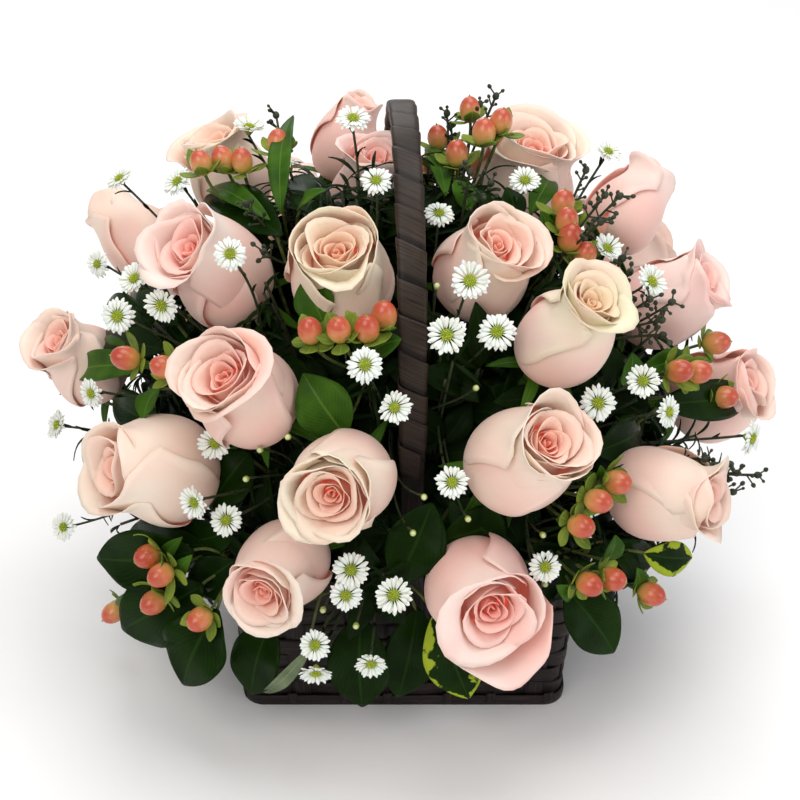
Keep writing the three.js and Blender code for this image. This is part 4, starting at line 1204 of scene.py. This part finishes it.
def leaf(sheets, foot, tip, wide, up, rng, slot=0, arch=0.1, fold=0.2, patch=0.0, rows=14, cols=8):
    """A blade from foot to tip with its upper face towards up. patch above 0.5 variegates its edges."""
    foot, tip = np.asarray(foot), np.asarray(tip)
    length = np.linalg.norm(tip - foot)
    along = unit(tip - foot)
    side = unit(np.cross(along, up))
    face = np.cross(side, along)
    t = np.linspace(0, 1, rows + 1)[:, None]
    u = np.linspace(-1, 1, cols + 1)[None, :]
    bend = math.log(0.5) / math.log(LEAF_WIDEST)
    half = wide / 2 * np.sin(math.pi * np.clip(t, 0.006, 0.994) ** bend) ** 0.78
    phase = rng.uniform(0, 2 * math.pi, 2)
    ripple = 0.045 * half * np.sin(2 * math.pi * 2.3 * t + phase[0] + u) * u**2
    ripple = ripple + 0.1 * half * np.sin(2 * math.pi * 1.1 * t + phase[1]) * u
    lift = arch * length * (np.sin(math.pi * t) - 0.25 * t**3) + fold * half * np.abs(u) ** 1.3 + ripple
    points = foot + along * (t * length)[..., None] + side * (u * half)[..., None] + face * lift[..., None]
    sheets.shell(points, 0.5 * MM, slot, four(t, np.abs(u), rng.uniform(), patch * np.abs(u) ** 0.5))


def stalked_leaf(sheets, fork, start, end, wide, stalk, steps, stalk_slot, rng, **shape):
    """A leaf that faces outwards, and the stalk that carries it from a fork."""
    leaf(sheets, start, end, wide, outward(start), rng, **shape)
    path = stem_line(fork, mix(fork, start, 0.6), mix(start, end, 0.08), steps)
    sheets.tube(path, stalk, 6, slot=stalk_slot)


print("a leaf is widest", LEAF_WIDEST, "of the way up")

# %% [markdown]
# Five leafy stems hang over the rim, three in front and two behind. The table gives the fork of each, and
# then its leaves: foot, tip and width in millimetres, and how variegated they are.

# %% Leafy stems over the rim
LEAFY_STEMS = {
    "skirt_left": ((-86, -100, 100), [
        ((-106, -108, 116), (-158, -98, 104), 36, 0), ((-102, -112, 98), (-148, -102, 62), 38, 0),
        ((-94, -122, 90), (-114, -130, 48), 38, 0)]),
    "skirt_front": ((-6, -104, 96), [
        ((-68, -116, 78), (-80, -122, 35), 30, 0), ((-22, -114, 80), (-22, -124, 28), 33, 0),
        ((16, -114, 82), (34, -122, 32), 30, 0.62), ((7, -106, 80), (-3, -114, 26), 28, 0)]),
    "skirt_right": ((84, -96, 98), [
        ((82, -118, 100), (108, -124, 64), 30, 0), ((122, -104, 112), (149, -94, 102), 19, 0.66),
        ((106, -100, 116), (119, -108, 98), 14, 0)]),
    "skirt_back_left": ((-90, 100, 98), [
        ((-110, 104, 104), (-150, 96, 82), 36, 0), ((-84, 122, 82), (-92, 132, 34), 36, 0),
        ((-116, 110, 82), (-140, 116, 40), 34, 0), ((-32, 116, 72), (-34, 126, 22), 30, 0.6)]),
    "skirt_back_right": ((70, 104, 98), [
        ((92, 118, 90), (108, 132, 44), 36, 0), ((54, 122, 92), (58, 136, 46), 34, 0),
        ((128, 96, 98), (160, 84, 70), 36, 0.55), ((24, 116, 78), (20, 130, 28), 32, 0)]),
}
SPRAY_ROOT = 0.45


def leafy_stem(name, fork, leaves, rng):
    sheets = Sheets()
    fork = np.array(fork) * MM
    root = root_of(fork, SPRAY_ROOT)
    bend = mix(root, fork, 0.5)
    bend[2] = 116 * MM
    sheets.tube(bezier(root, bend, fork, 12), 1.5 * MM, 8, slot=1)
    for foot, tip, wide, patch in leaves:
        foot, tip = np.array(foot) * MM, np.array(tip) * MM
        up = foot * (1, 1, 0)
        leaf(sheets, foot, tip, wide * MM, up, rng, arch=0.09, fold=0.16, patch=patch, rows=20, cols=12)
        over = mix(fork, foot, 0.5)
        over[2] = max(fork[2], foot[2]) + 4 * MM
        sheets.tube(bezier(fork, over, mix(foot, tip, 0.06), 10), 0.9 * MM, 6, slot=1)
    return sheets.piece("leafy_stem_" + name, [LEAF, BERRY_STEM], ["leaves_" + name])


rng = np.random.default_rng(7)
for name, (fork, leaves) in LEAFY_STEMS.items():
    made = leafy_stem(name, fork, leaves, rng)
    print(made.name, len(made.data.polygons), "faces")

# %% [markdown]
# ## Sprays
# Hypericum, asters and bud twigs come as sprays: one stem in the foam, forking below the dome into a stalk
# for each flower. The tables give each flower's place as it is seen, and its lift over the dome in
# millimetres. A hypericum spray has first where its berries' tips lean as seen (right, up), then its
# berries (across, down, lift), then its leaves (foot, tip, width, lift). Sprays on the far side have their
# places as on_side takes them.

# %% Table of hypericum sprays
BERRY_SPRAYS = {
    "crown_left": (
        (-0.1, 0.8),
        [(201, 163, 36), (223, 160, 30), (242, 161, 26), (278, 143, 26)],
        [((281, 214), (292, 113), 13, 12), ((270, 220), (205, 188), 12, 12),
         ((297, 212), (327, 189), 10, 8)]),
    "crown_right": (
        (-0.1, 0.8),
        [(438, 138, 12), (470, 110, 26), (501, 122, 34), (457, 154, 14), (484, 133, 28)],
        [((446, 196), (427, 145), 12, 4), ((468, 212), (458, 178), 15, 0)]),
    "shoulder_right": (
        (0.1, 0.8),
        [(563, 204, 14), (567, 221, 14), (570, 238, 10), (585, 255, 6)],
        [((530, 214), (551, 177), 14, 8), ((548, 240), (541, 211), 13, 6)]),
    "heart_left": (
        (-0.05, 0.7),
        [(310, 331, 22), (339, 330, 24), (367, 329, 22), (384, 316, 14)],
        [((323, 323), (306, 277), 20, 12), ((372, 350), (401, 339), 13, 10),
         ((346, 436), (303, 374), 28, -4)]),
    "side_left": (
        (-0.8, 0.1),
        [(126, 358, 20), (164, 367, 18)],
        [((150, 366), (74, 373), 17, 8), ((152, 346), (106, 330), 14, 4), ((160, 386), (143, 420), 16, 6)]),
    "skirt_left": (
        (-0.65, -0.45),
        [(148, 556, 18), (161, 575, 22), (154, 602, 20), (114, 612, 14), (200, 619, 18)],
        [((165, 558), (181, 538), 8, 10), ((176, 577), (191, 556), 9, 12), ((126, 608), (131, 591), 7, 8)]),
    "side_right": (
        (0.8, -0.1),
        [(679, 371, 16), (698, 372, 18), (724, 397, 14), (716, 343, 18)],
        [((624, 386), (633, 353), 16, 6), ((640, 372), (688, 354), 13, 6)]),
    "belly_right": (
        (0.7, -0.25),
        [(617, 482, 16), (598, 501, 20), (581, 526, 18)],
        [((594, 488), (601, 466), 9, 10), ((576, 518), (557, 520), 10, 8)]),
    "skirt_right": (
        (0.8, -0.25),
        [(589, 584, 16), (612, 579, 14), (651, 594, 14)],
        [((603, 562), (616, 536), 14, 8), ((634, 590), (638, 569), 11, 8), ((577, 592), (557, 586), 10, 10)]),
}
BACK_BERRIES = {
    "back_right": [(53, 9, 10), (58, 12, 13), (62, 8, 10), (56, 4, 12)],
    "back_left": [(126, 12, 10), (131, 15, 13), (135, 10, 10)],
    "back_crown": [(76, 49, 10), (81, 53, 14), (84, 47, 10)],
}
print("berries that show:", sum(len(berries) for _, berries, _ in BERRY_SPRAYS.values()))

# %% [markdown]
# A berry is a small egg on a stalk. Five bracts spread under it, and a pale stub is left where the flower
# was. A bract that would cut the handle is left out.

# %% One berry
BERRY_PROFILE = np.array([
    (0.05, -7.2), (2.0, -7.1), (3.6, -6.1), (5.0, -4.2), (5.8, -1.9), (6.0, 0.5), (5.6, 2.9), (4.6, 5.0),
    (3.3, 6.5), (2.0, 7.4), (1.2, 7.7), (0.05, 7.8),
]) * MM
STUB_PROFILE = np.array([(0.05, 0), (0.65, 0.1), (0.45, 0.9), (0.05, 1.5)]) * MM
BRACTS = 5


def berry(sheets, place, direction, ripe, rng):
    """One berry with its bracts and its stub. Slots: 0 skin, 1 bract."""
    size = rng.uniform(0.94, 1.06)
    radii, heights = BERRY_PROFILE[:, 0] * size, BERRY_PROFILE[:, 1] * size
    height = (heights - heights[0]) / (heights[-1] - heights[0])
    ripeness = ripe * rng.uniform(0.35, 1.0)
    sheets.turned(radii, heights, place, direction, 20, 0, four(height, ripeness)[:, None])
    sheets.turned(*STUB_PROFILE.T, place + direction * 7.4 * MM * size, direction, 6, 1)
    basis = frame_of(direction)
    foot = place - direction * 6.8 * MM * size
    for i in range(BRACTS):
        angle = 2 * math.pi * (i + rng.uniform(-0.15, 0.15)) / BRACTS
        long, wide, lift = rng.uniform(9.5, 13.5) * MM, rng.uniform(7.0, 9.4) * MM, rng.uniform(-0.3, 0.55)
        blade, look = strap(long, wide, lift, -0.35, 8, 4, 0.55)
        bract = set_out(blade, angle, 0.9 * MM) @ basis.T + foot
        if not in_hoop(bract.reshape(-1, 3), MM).any():
            sheets.shell(bract, 0.35 * MM, 1, look)


def main_stem(sheets, places, share, radius, slot):
    """The stem of a spray, from the foam to its fork, which it returns."""
    middle = np.mean(places, axis=0)
    fork = mix(middle, DOME_MIDDLE, share)
    root = root_of(middle, SPRAY_ROOT)
    sheets.tube(stem_line(root, mix(root, fork, 0.5), fork, 10), radius, 8, slot)
    return fork


print("a berry is", 2 * BERRY_PROFILE[:, 0].max() / MM, "mm thick")

# %% [markdown]
# A spray forks a third of the way from its flowers to the middle of the dome. Its berries point where the
# table says, and a little apart from each other. The berries on the crown are less ripe.

# %% Hypericum sprays
BERRY_SHARE = 0.32


def berry_spray(name, lean, places, leaves, ripe, packed, rng):
    """One spray. lean is the direction in which its berries point, and leaves are (start, end, width)."""
    sheets = Sheets()
    fork = main_stem(sheets, places, BERRY_SHARE, 1.5 * MM, 2)
    for place in places:
        direction = unit(lean + 0.5 * unit(place - fork) + rng.normal(0, 0.08, 3))
        berry(sheets, place, direction, ripe, rng)
        foot = place - direction * 6.9 * MM
        bend = foot - direction * 0.25 * np.linalg.norm(foot - fork)
        sheets.tube(stem_line(fork, bend, foot, 12), 0.9 * MM, 6, slot=2)
    for start, end, wide in leaves:
        shape = {"slot": 3, "arch": 0.1, "fold": 0.25, "rows": 14, "cols": 6}
        stalked_leaf(sheets, fork, start, end, wide * MM, 0.8 * MM, 8, 2, rng, **shape)
    return sheets.piece("hypericum_" + name, [BERRY, BRACT, BERRY_STEM, SOFT_LEAF], packed)


rng = np.random.default_rng(11)
soft_spots = []
for name, (lean, berries, leaves) in BERRY_SPRAYS.items():
    places = [on_dome(*b) for b in berries]
    blades = [(on_dome(*foot, lift - 6), on_dome(*tip, lift + 4), wide) for foot, tip, wide, lift in leaves]
    ripe = 0.5 if name.startswith("crown") else 1.0
    made = berry_spray(name, seen_direction(*lean, 0.5), places, blades, ripe, ["berries_" + name], rng)
    soft_spots += places
for name, berries in BACK_BERRIES.items():
    places = [on_side(*b) for b in berries]
    middle = np.mean(berries, axis=0)
    turns = np.array([(5, -3, -3), (-6, 1, -2)])
    blades = [(on_side(*(middle + turn)), on_side(*(middle + 2.2 * turn)), 16) for turn in turns]
    made = berry_spray(name, outward(places[0]) + 0.4 * VIEW_UP, places, blades, 0.8, [], rng)
    soft_spots += places
print("hypericum sprays:", len(BERRY_SPRAYS) + len(BACK_BERRIES))

# %% [markdown]
# An aster's head is a flat eye of tiny tube florets with two whorls of strap-shaped rays round it, on a
# green cup. The rays droop unevenly, and no two heads open alike. The table gives (across, down, lift,
# right, up), where the last two say which way the flower leans, and then the round buds beside the open
# flowers: (across, down, lift).

# %% Table of aster sprays
ASTER_SPRAYS = {
    "crown": [(353, 119, 44, 0.1, 0.65), (376, 181, 34, 0, 0.45), (249, 128, 22, 0.1, 0.85)],
    "shoulder_left": [(120, 179, 30, -0.45, 0.65), (178, 182, 24, -0.5, 0.5), (98, 264, 30, -0.6, -0.15)],
    "side_left": [(230, 254, 44, 0.1, 0.1), (135, 279, 24, -0.4, 0.4), (118, 316, 30, -0.3, -0.1),
                  (162, 305, 26, -0.3, -0.4), (92, 393, 22, -0.6, -0.3)],
    "heart": [(365, 365, 30, 0, 0.1), (394, 407, 16, 0.3, -0.2)],
    "belly_left": [(215, 443, 4, -0.1, -0.1), (195, 502, 24, -0.6, -0.3), (226, 520, 12, 0, 0)],
    "edge_left": [(64, 527, 16, -0.5, 0), (58, 425, 18, -0.75, 0.2)],
    "skirt": [(351, 570, 14, 0, 0.1), (346, 595, 18, 0, -0.2), (394, 595, 16, -0.2, 0), (315, 645, 26, 0, 0),
              (316, 672, 22, 0, -0.8), (371, 663, 20, 0.1, -0.6)],
    "belly_right": [(470, 281, 30, 0, 0.1), (447, 335, 22, -0.1, 0), (497, 332, 24, 0, 0.1),
                    (439, 214, 6, 0, 0.6), (452, 482, 16, 0, 0)],
    "shoulder_right": [(525, 181, 14, 0, 0.5), (608, 152, 34, 0.3, 0.62), (607, 249, 12, 0.4, 0.5),
                       (651, 282, 34, 0.6, 0.3)],
    "side_right": [(643, 381, 26, 0, 0), (598, 403, 20, 0.1, 0), (668, 412, 20, 0.7, -0.1),
                   (751, 438, 26, 0.8, -0.3), (545, 567, 14, 0.1, 0.1)],
}
ASTER_BUDS = {
    "shoulder_left": [(145, 232, 28)],
    "belly_left": [(288, 437, 8), (246, 479, 6), (260, 450, 6)],
    "skirt": [(323, 610, 14), (356, 626, 14)],
    "heart": [(424, 497, 6), (413, 533, 8), (476, 388, 4)],
    "belly_right": [(437, 286, 14), (468, 519, 6)],
    "side_right": [(543, 535, 8), (545, 584, 8)],
}
BACK_ASTERS = {
    "back_low": [(76, 12, 8), (83, 5, 10), (70, 3, 10), (120, 3, 10)],
    "back_high": [(74, 61, 16), (126, 54, 14), (47, 39, 16)],
    "back_side": [(150, 14, 8), (158, 24, 10), (30, 12, 8), (22, 22, 10)],
}
print("asters that show:", sum(len(flowers) for flowers in ASTER_SPRAYS.values()))

# %% [markdown]
# The florets of the eye stand on the same golden angle as the petals of a rose. That is how they grow, and
# it fills a round without rows.

# %% One aster
# The whorls of rays: how many, how far they reach and how high they start, in millimetres.
WHORLS = ((20, 9.6, 0.1), (17, 8.6, 0.8))
EYE_PROFILE = np.array([(0.05, -0.3), (2.7, -0.2), (3.0, 0.7), (2.4, 1.5), (1.2, 1.95), (0.05, 2.1)])
CUP_PROFILE = np.array([(0.05, -4.4), (1.3, -4.0), (2.5, -2.2), (2.9, -0.6), (2.4, 0.1), (0.05, 0.2)])
FLORET_PROFILE = np.array([(0.02, -1), (1, 0), (0.8, 1), (0.02, 1.6)])
FLORETS = 26


def aster_head(sheets, place, direction, rng):
    """Slots: 0 ray, 1 eye, 2 cup."""
    basis = frame_of(direction)
    mm = rng.uniform(0.82, 1.0) * MM  # heads differ in size
    droop = rng.uniform(-0.3, 0.35)
    for number, reach, rise in WHORLS:
        turn = rng.uniform(0, 1)
        for i in range(number):
            angle = 2 * math.pi * (i + turn + rng.uniform(-0.22, 0.22)) / number
            length = (reach * rng.uniform(0.88, 1.05) - 2.2) * mm
            wide, bow = rng.uniform(2.0, 2.5) * mm, droop + rng.uniform(-0.15, 0.25)
            blade, look = strap(length, wide, 0.12 + rise * 0.2, bow, 6, 2, 0.68)
            sheets.shell(set_out(blade, angle, 2.2 * mm, rise * mm) @ basis.T + place, 0.22 * mm, 0, look)
    sheets.turned(*(EYE_PROFILE.T * mm), place, direction, 14, 1)
    for i in range(FLORETS):
        radius, angle = 2.75 * math.sqrt((i + 0.5) / FLORETS), i * GOLDEN_ANGLE
        spot = np.array([radius * math.cos(angle), radius * math.sin(angle), 2.1 - 0.13 * radius**2]) * mm
        size = rng.uniform(0.38, 0.5) * mm
        look = np.array([rng.uniform(0.2, 1.0), 0, 0, 0])
        axis = basis @ unit(spot + np.array([0, 0, 3 * mm]))
        sheets.turned(*(FLORET_PROFILE.T * size), basis @ spot + place, axis, 5, 1, look)
    sheets.turned(*(CUP_PROFILE.T * mm), place, direction, 10, 2)


print("an aster has", sum(number for number, _, _ in WHORLS), "rays and", FLORETS, "florets")

# %% [markdown]
# Aster stalks are wiry and branch low. Small needle leaves stand on their upper halves.

# %% Aster sprays
ASTER_SHARE = 0.42
BUD_PROFILE = np.array([(0.05, -1.6), (0.9, -1.1), (1.3, -0.1), (1.2, 0.9), (0.8, 1.6), (0.05, 1.8)]) * MM
BUD_CUP_PROFILE = np.array([(0.05, -2.3), (1.2, -1.7), (1.6, -0.4), (1.55, 0.7), (0.05, 0.8)]) * MM


def aster_spray(name, places, directions, packed, rng):
    sheets = Sheets()
    fork = main_stem(sheets, places, ASTER_SHARE, 1.1 * MM, 3)
    for place, direction in zip(places, directions):
        aster_head(sheets, place, direction, rng)
        stalk = stem_line(fork, mix(place, DOME_MIDDLE, 0.2), place - direction * 4.0 * MM, 14)
        sheets.tube(stalk, 0.7 * MM, 6, slot=3)
        for k in (6, 8, 10, 12):
            along, out = stalk[k] - stalk[k - 1], rng.normal(size=3)
            tip = stalk[k] + unit(out + 2 * unit(along)) * rng.uniform(7, 12) * MM
            leaf(sheets, stalk[k], tip, 1.8 * MM, unit(along), rng, slot=4, rows=5, cols=2)
    for seen in ASTER_BUDS.get(name, ()):
        place = on_dome(*seen)
        direction = outward(place)
        sheets.turned(*BUD_PROFILE.T, place, direction, 10, 0)
        sheets.turned(*BUD_CUP_PROFILE.T, place, direction, 10, 2)
        stalk = stem_line(fork, mix(place, DOME_MIDDLE, 0.2), place - direction * 2.2 * MM, 12)
        sheets.tube(stalk, 0.6 * MM, 5, slot=3)
    return sheets.piece("aster_" + name, [RAY, AST_EYE, BRACT, FINE_STEM, DARK_LEAF], packed)


rng = np.random.default_rng(23)
for name, flowers in ASTER_SPRAYS.items():
    places = [on_dome(*f[:3]) for f in flowers]
    leans = [seen_direction(right, up, math.sqrt(max(0, 1 - right**2 - up**2))) for *_, right, up in flowers]
    made = aster_spray(name, places, leans, ["asters_" + name], rng)
    soft_spots += places
for name, flowers in BACK_ASTERS.items():
    places = [on_side(*f) for f in flowers]
    made = aster_spray(name, places, [unit(outward(p) + rng.normal(0, 0.15, 3)) for p in places], [], rng)
    soft_spots += places
print("aster sprays:", len(ASTER_SPRAYS) + len(BACK_ASTERS))

# %% [markdown]
# The dark twigs carry closed buds, a large one at the end of each shoot and smaller ones below it. The
# table gives the end buds: (across, down, lift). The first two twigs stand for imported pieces, and the rest
# are thin extra ones.

# %% Bud twigs
TWIGS = {
    "crown": [(496, 96, 44), (480, 104, 32), (447, 113, 24), (451, 125, 22)],
    "side_right": [(620, 196, 40), (605, 195, 38), (601, 222, 34), (586, 170, 34)],
    "shoulder_right": [(623, 258, 26), (630, 272, 28), (650, 299, 36), (672, 302, 38), (662, 320, 34),
                       (663, 335, 30)],
    "edge_right": [(705, 459, 24), (715, 465, 26), (730, 464, 30), (737, 473, 30), (733, 492, 28),
                   (758, 475, 34)],
    "crown_left": [(264, 252, 20), (276, 115, 34), (246, 204, 20)],
    "middle_right": [(491, 183, 16), (483, 197, 14), (470, 172, 18)],
}
PACKED_TWIGS = ("crown", "side_right")
TWIG_SHARE = 0.28


def bud(sheets, place, direction, radius):
    steps = np.linspace(0, math.pi, 7)
    radii = np.maximum(np.sin(steps) * radius * (1 + 0.1 * np.cos(steps)), 0.02 * MM)
    sheets.turned(radii, -np.cos(steps) * radius * 1.15, place, direction, 9, 0)


def bud_twig(name, buds, rng):
    sheets = Sheets()
    places = [on_dome(*b) for b in buds]
    fork = main_stem(sheets, places, TWIG_SHARE, 1.1 * MM, 1)
    for place in places:
        direction = unit(place - fork)
        bud(sheets, place, direction, 1.9 * MM)
        shoot = bezier(fork, mix(fork, place, 0.5) + rng.normal(0, 1.5 * MM, 3), place, 12)
        sheets.tube(shoot, 0.7 * MM, 6, slot=1)
        for k in (8, 9, 10, 11):
            for _ in range(2):
                sideways = np.cross(direction, rng.normal(size=3))
                tip = shoot[k] + unit(unit(sideways) + 0.7 * direction) * rng.uniform(4, 7) * MM
                bud(sheets, tip, unit(tip - shoot[k]), rng.uniform(0.8, 1.35) * MM)
                sheets.tube(bezier(shoot[k], mix(shoot[k], tip, 0.5), tip, 4), 0.45 * MM, 5, slot=1)
    packed = ["bud_twig_" + name] if name in PACKED_TWIGS else []
    return sheets.piece("dark_bud_twig_" + name, [BUD, FINE_STEM], packed)


rng = np.random.default_rng(31)
for name, buds in TWIGS.items():
    made = bud_twig(name, buds, rng)
print("bud twigs:", len(TWIGS))

# %% [markdown]
# ## Greenery between the flowers
# Behind the flowers the real arrangement is packed with dark greenery, so that no foam shows. A sprig or
# leaf that would cut through a flower, the handle or the wall is left out: real stems find their way round,
# and a model has to look for clashes. Each rose counts as a thick line along its axis, and each berry and
# aster as a ball.

# %% Room for the flowers
rose_line = np.array([
    [r["centre"] - r["axis"] * 0.5 * r["tall"], r["centre"] + r["axis"] * 0.35 * r["tall"]] for r in roses
])
rose_wide = np.array([r["wide"] for r in roses])
soft_spots = np.array(soft_spots)
SPOT_RADIUS = 7 * MM


def clear_of_flowers(points, margin):
    """Whether points keep a margin to all rose heads, and 1 mm to all berries and asters."""
    start, run = rose_line[:, 0], rose_line[:, 1] - rose_line[:, 0]
    share = np.einsum("prk,rk->pr", points[:, None] - start, run) / np.einsum("rk,rk->r", run, run)
    near = start + np.clip(share, 0, 1)[..., None] * run
    room = np.linalg.norm(points[:, None] - near, axis=-1) - rose_wide / 2
    gap = np.linalg.norm(points[:, None] - soft_spots, axis=-1) - SPOT_RADIUS
    return room.min() > margin and gap.min() > 1 * MM


print(len(roses), "roses and", len(soft_spots), "small flowers and berries to keep clear of")

# %% [markdown]
# Some broad leaves can be made out low between the flowers. The table has their foot, tip, width and lift,
# as for the sprays. One slim leaf shows a paler, duller underside in front of the basket's corner, as if
# twisted over: it is given the underside's finish and folded more.

# %% Shade leaves
SHADE_LEAVES = [
    ((205, 545), (128, 535), 30, -4), ((235, 530), (160, 548), 26, -10), ((235, 560), (190, 590), 24, -6),
    ((500, 520), (440, 540), 28, -16), ((450, 500), (505, 548), 26, -18), ((432, 503), (396, 585), 30, -8),
    ((590, 550), (655, 562), 26, -4), ((560, 560), (610, 610), 26, -6), ((655, 405), (748, 398), 22, 6),
    ((282, 236), (205, 194), 26, 6), ((268, 250), (222, 214), 22, -2), ((300, 175), (318, 230), 18, -8),
    ((60, 395), (110, 350), 18, -6), ((152, 330), (106, 302), 20, 6), ((178, 325), (142, 276), 22, 0),
    ((165, 350), (98, 340), 24, 4), ((250, 452), (212, 505), 30, -18), ((190, 350), (156, 303), 26, -12),
    ((165, 428), (112, 398), 24, -6), ((640, 430), (596, 452), 26, -14), ((235, 470), (228, 520), 26, -22),
    ((500, 226), (477, 190), 16, 8), ((516, 222), (507, 187), 14, 10), ((560, 262), (538, 226), 14, 2),
]


def shade_leaves(rng):
    sheets = Sheets()
    for foot, tip, wide, lift in SHADE_LEAVES:
        start, end = on_dome(*foot, lift - 6), on_dome(*tip, lift + 4)
        root = root_of(start, SPRAY_ROOT)
        stalked_leaf(
            sheets, root, start, end, wide * MM, 1.0 * MM, 12, 1, rng, arch=0.08, fold=0.2, rows=16, cols=8
        )
    start, end = on_dome(312, 646, 12), on_dome(262, 694, 10)
    root = root_of(start, SPRAY_ROOT)
    stalked_leaf(
        sheets, root, start, end, 7.5 * MM, 0.8 * MM, 12, 1, rng, slot=2, arch=0.1, fold=0.5, rows=16, cols=8
    )
    return sheets.piece("shade_leaves", [LEAF, BERRY_STEM, UNDERSIDE])


made = shade_leaves(np.random.default_rng(59))
print(made.name, len(made.data.polygons), "faces")

# %% [markdown]
# The rest is scattered in four quarters: broad leaves deep down, and fine needles nearer the dome. Each
# sprig has a stem in the foam and leaves near its end, and it stops short of the flowers.

# %% Filler sprigs all round
SPRIGS = 110
LEAVES_AT = (11, 11, 10, 9, 9, 8, 7)  # the steps of its stem at which a sprig has leaves
LOWEST = 84 * MM


def filler(name, facing, sizes, lift, rng):
    """Sprigs in one quarter of the dome. facing is its middle direction, in degrees from the right."""
    sheets = Sheets()
    placed = 0
    for _ in range(SPRIGS):
        point = on_side(facing + rng.uniform(-48, 48), rng.uniform(-12, 85), rng.uniform(*lift))
        if point[2] < LOWEST:
            continue
        root = root_of(point, SPRAY_ROOT)
        stem = stem_line(root, mix(root, point, 0.6) + np.array([0, 0, 12 * MM]), point, 12)
        if not clear_of_flowers(stem[5:], 1 * MM):
            continue
        normal = outward(point)
        barred = in_hoop(stem, 2 * MM).any() or in_wall(stem, 2 * MM).any()
        if not barred:
            sheets.tube(stem, 0.8 * MM, 5, slot=1)
        for k in LEAVES_AT:
            sideways = unit(np.cross(normal, rng.normal(size=3)))
            long, wide = rng.uniform(*sizes[0]) * MM, rng.uniform(*sizes[1]) * MM
            foot = stem[k]
            tip = foot + unit(sideways + rng.uniform(-0.1, 0.6) * normal) * long
            line = np.linspace(foot, tip, 9)[1:]
            cuts = barred or in_hoop(line, 6 * MM).any() or in_wall(line, 3 * MM).any()
            if not cuts and clear_of_flowers(line[1::2], -0.5 * MM):
                leaf(sheets, foot, tip, wide, normal, rng, arch=0.12, fold=0.25, rows=8, cols=4)
                placed += 1
    made = sheets.piece("filler_" + name, [DARK_LEAF, FINE_STEM])
    print(made.name, placed, "leaves")


rng = np.random.default_rng(53)
for quarter, facing in (("front", -90), ("right", 0), ("back", 90), ("left", 180)):
    filler("broad_" + quarter, facing, ((24, 38), (12, 18)), (-46, -16), rng)
    filler("fine_" + quarter, facing, ((12, 22), (1.6, 2.6)), (-16, 6), rng)

# %% [markdown]
# ## Setting and light
# The real one was lit by soft daylight from above and in front, with no hard shadow. A wide light overhead
# and a window light from the front left do most of the work, weaker ones fill from the right and from
# behind, and a pale surround stops the shaded petals from going grey. The view transform is Standard, so
# that the colours stay those that were written down.

# %% Floor and lights
FLOOR_HALF = 12.0


def stand(name, data, place, basis):
    """Puts a light or a camera in its place. It looks against the last of the axes in basis."""
    made = bpy.data.objects.new(name, data)
    made.location = place
    made.rotation_euler = Matrix(basis.tolist()).to_euler()
    bpy.context.collection.objects.link(made)
    return made


def floor():
    mesh = bpy.data.meshes.new("pale_floor")
    corners = [(x * FLOOR_HALF, y * FLOOR_HALF, 0) for x, y in ((-1, -1), (1, -1), (1, 1), (-1, 1))]
    mesh.from_pydata(corners, [], [(0, 1, 2, 3)])
    made = bpy.data.objects.new("pale_floor", mesh)
    bpy.context.collection.objects.link(made)
    paint, _, shader = material("pale_matt_paint", Roughness=0.9)
    shader.inputs["Base Color"].default_value = colour("#fafafa")
    mesh.materials.append(paint)


def area_light(name, place, target, size, power, tint):
    light = bpy.data.lights.new(name, "AREA")
    light.shape, light.size, light.energy, light.color = "DISK", size, power, colour(tint)[:3]
    stand(name, light, place, frame_of(np.array(place) - np.array(target)))


floor()
area_light("window_light", (-0.7, -1.5, 1.6), (0, 0, 0.15), 1.4, 16, "#fffaf4")
area_light("overhead_light", (0.2, 0.1, 2.0), (0, 0, 0.15), 1.6, 19, "#ffffff")
area_light("right_fill", (1.5, -0.9, 0.8), (0, 0, 0.12), 1.2, 7, "#f4f7ff")
area_light("back_light", (-0.3, 1.6, 1.3), (0, 0, 0.15), 1.2, 9, "#ffffff")

world = bpy.data.worlds.new("white_surround")
world.use_nodes = True
surround = world.node_tree.nodes["Background"].inputs
surround["Color"].default_value = (1, 1, 1, 1)
surround["Strength"].default_value = 0.45
bpy.context.scene.world = world
bpy.context.scene.view_settings.view_transform = "Standard"
print("lights:", [light.name for light in bpy.data.lights])

# %% [markdown]
# The camera stands where the customer's eye is. Its lens makes the picture's plane as wide as the 800
# pixels that the tables were written for.

# %% Camera
SENSOR_WIDTH = 36

camera = stand("customer_eye", bpy.data.cameras.new("customer_eye"), EYE, frame_of(VIEW_TOWARDS))
camera.data.sensor_width = SENSOR_WIDTH
camera.data.lens = SENSOR_WIDTH * EYE_DISTANCE / (PICTURE_SIDE * PIXEL)
bpy.context.scene.camera = camera
print("lens", round(camera.data.lens, 1), "mm")
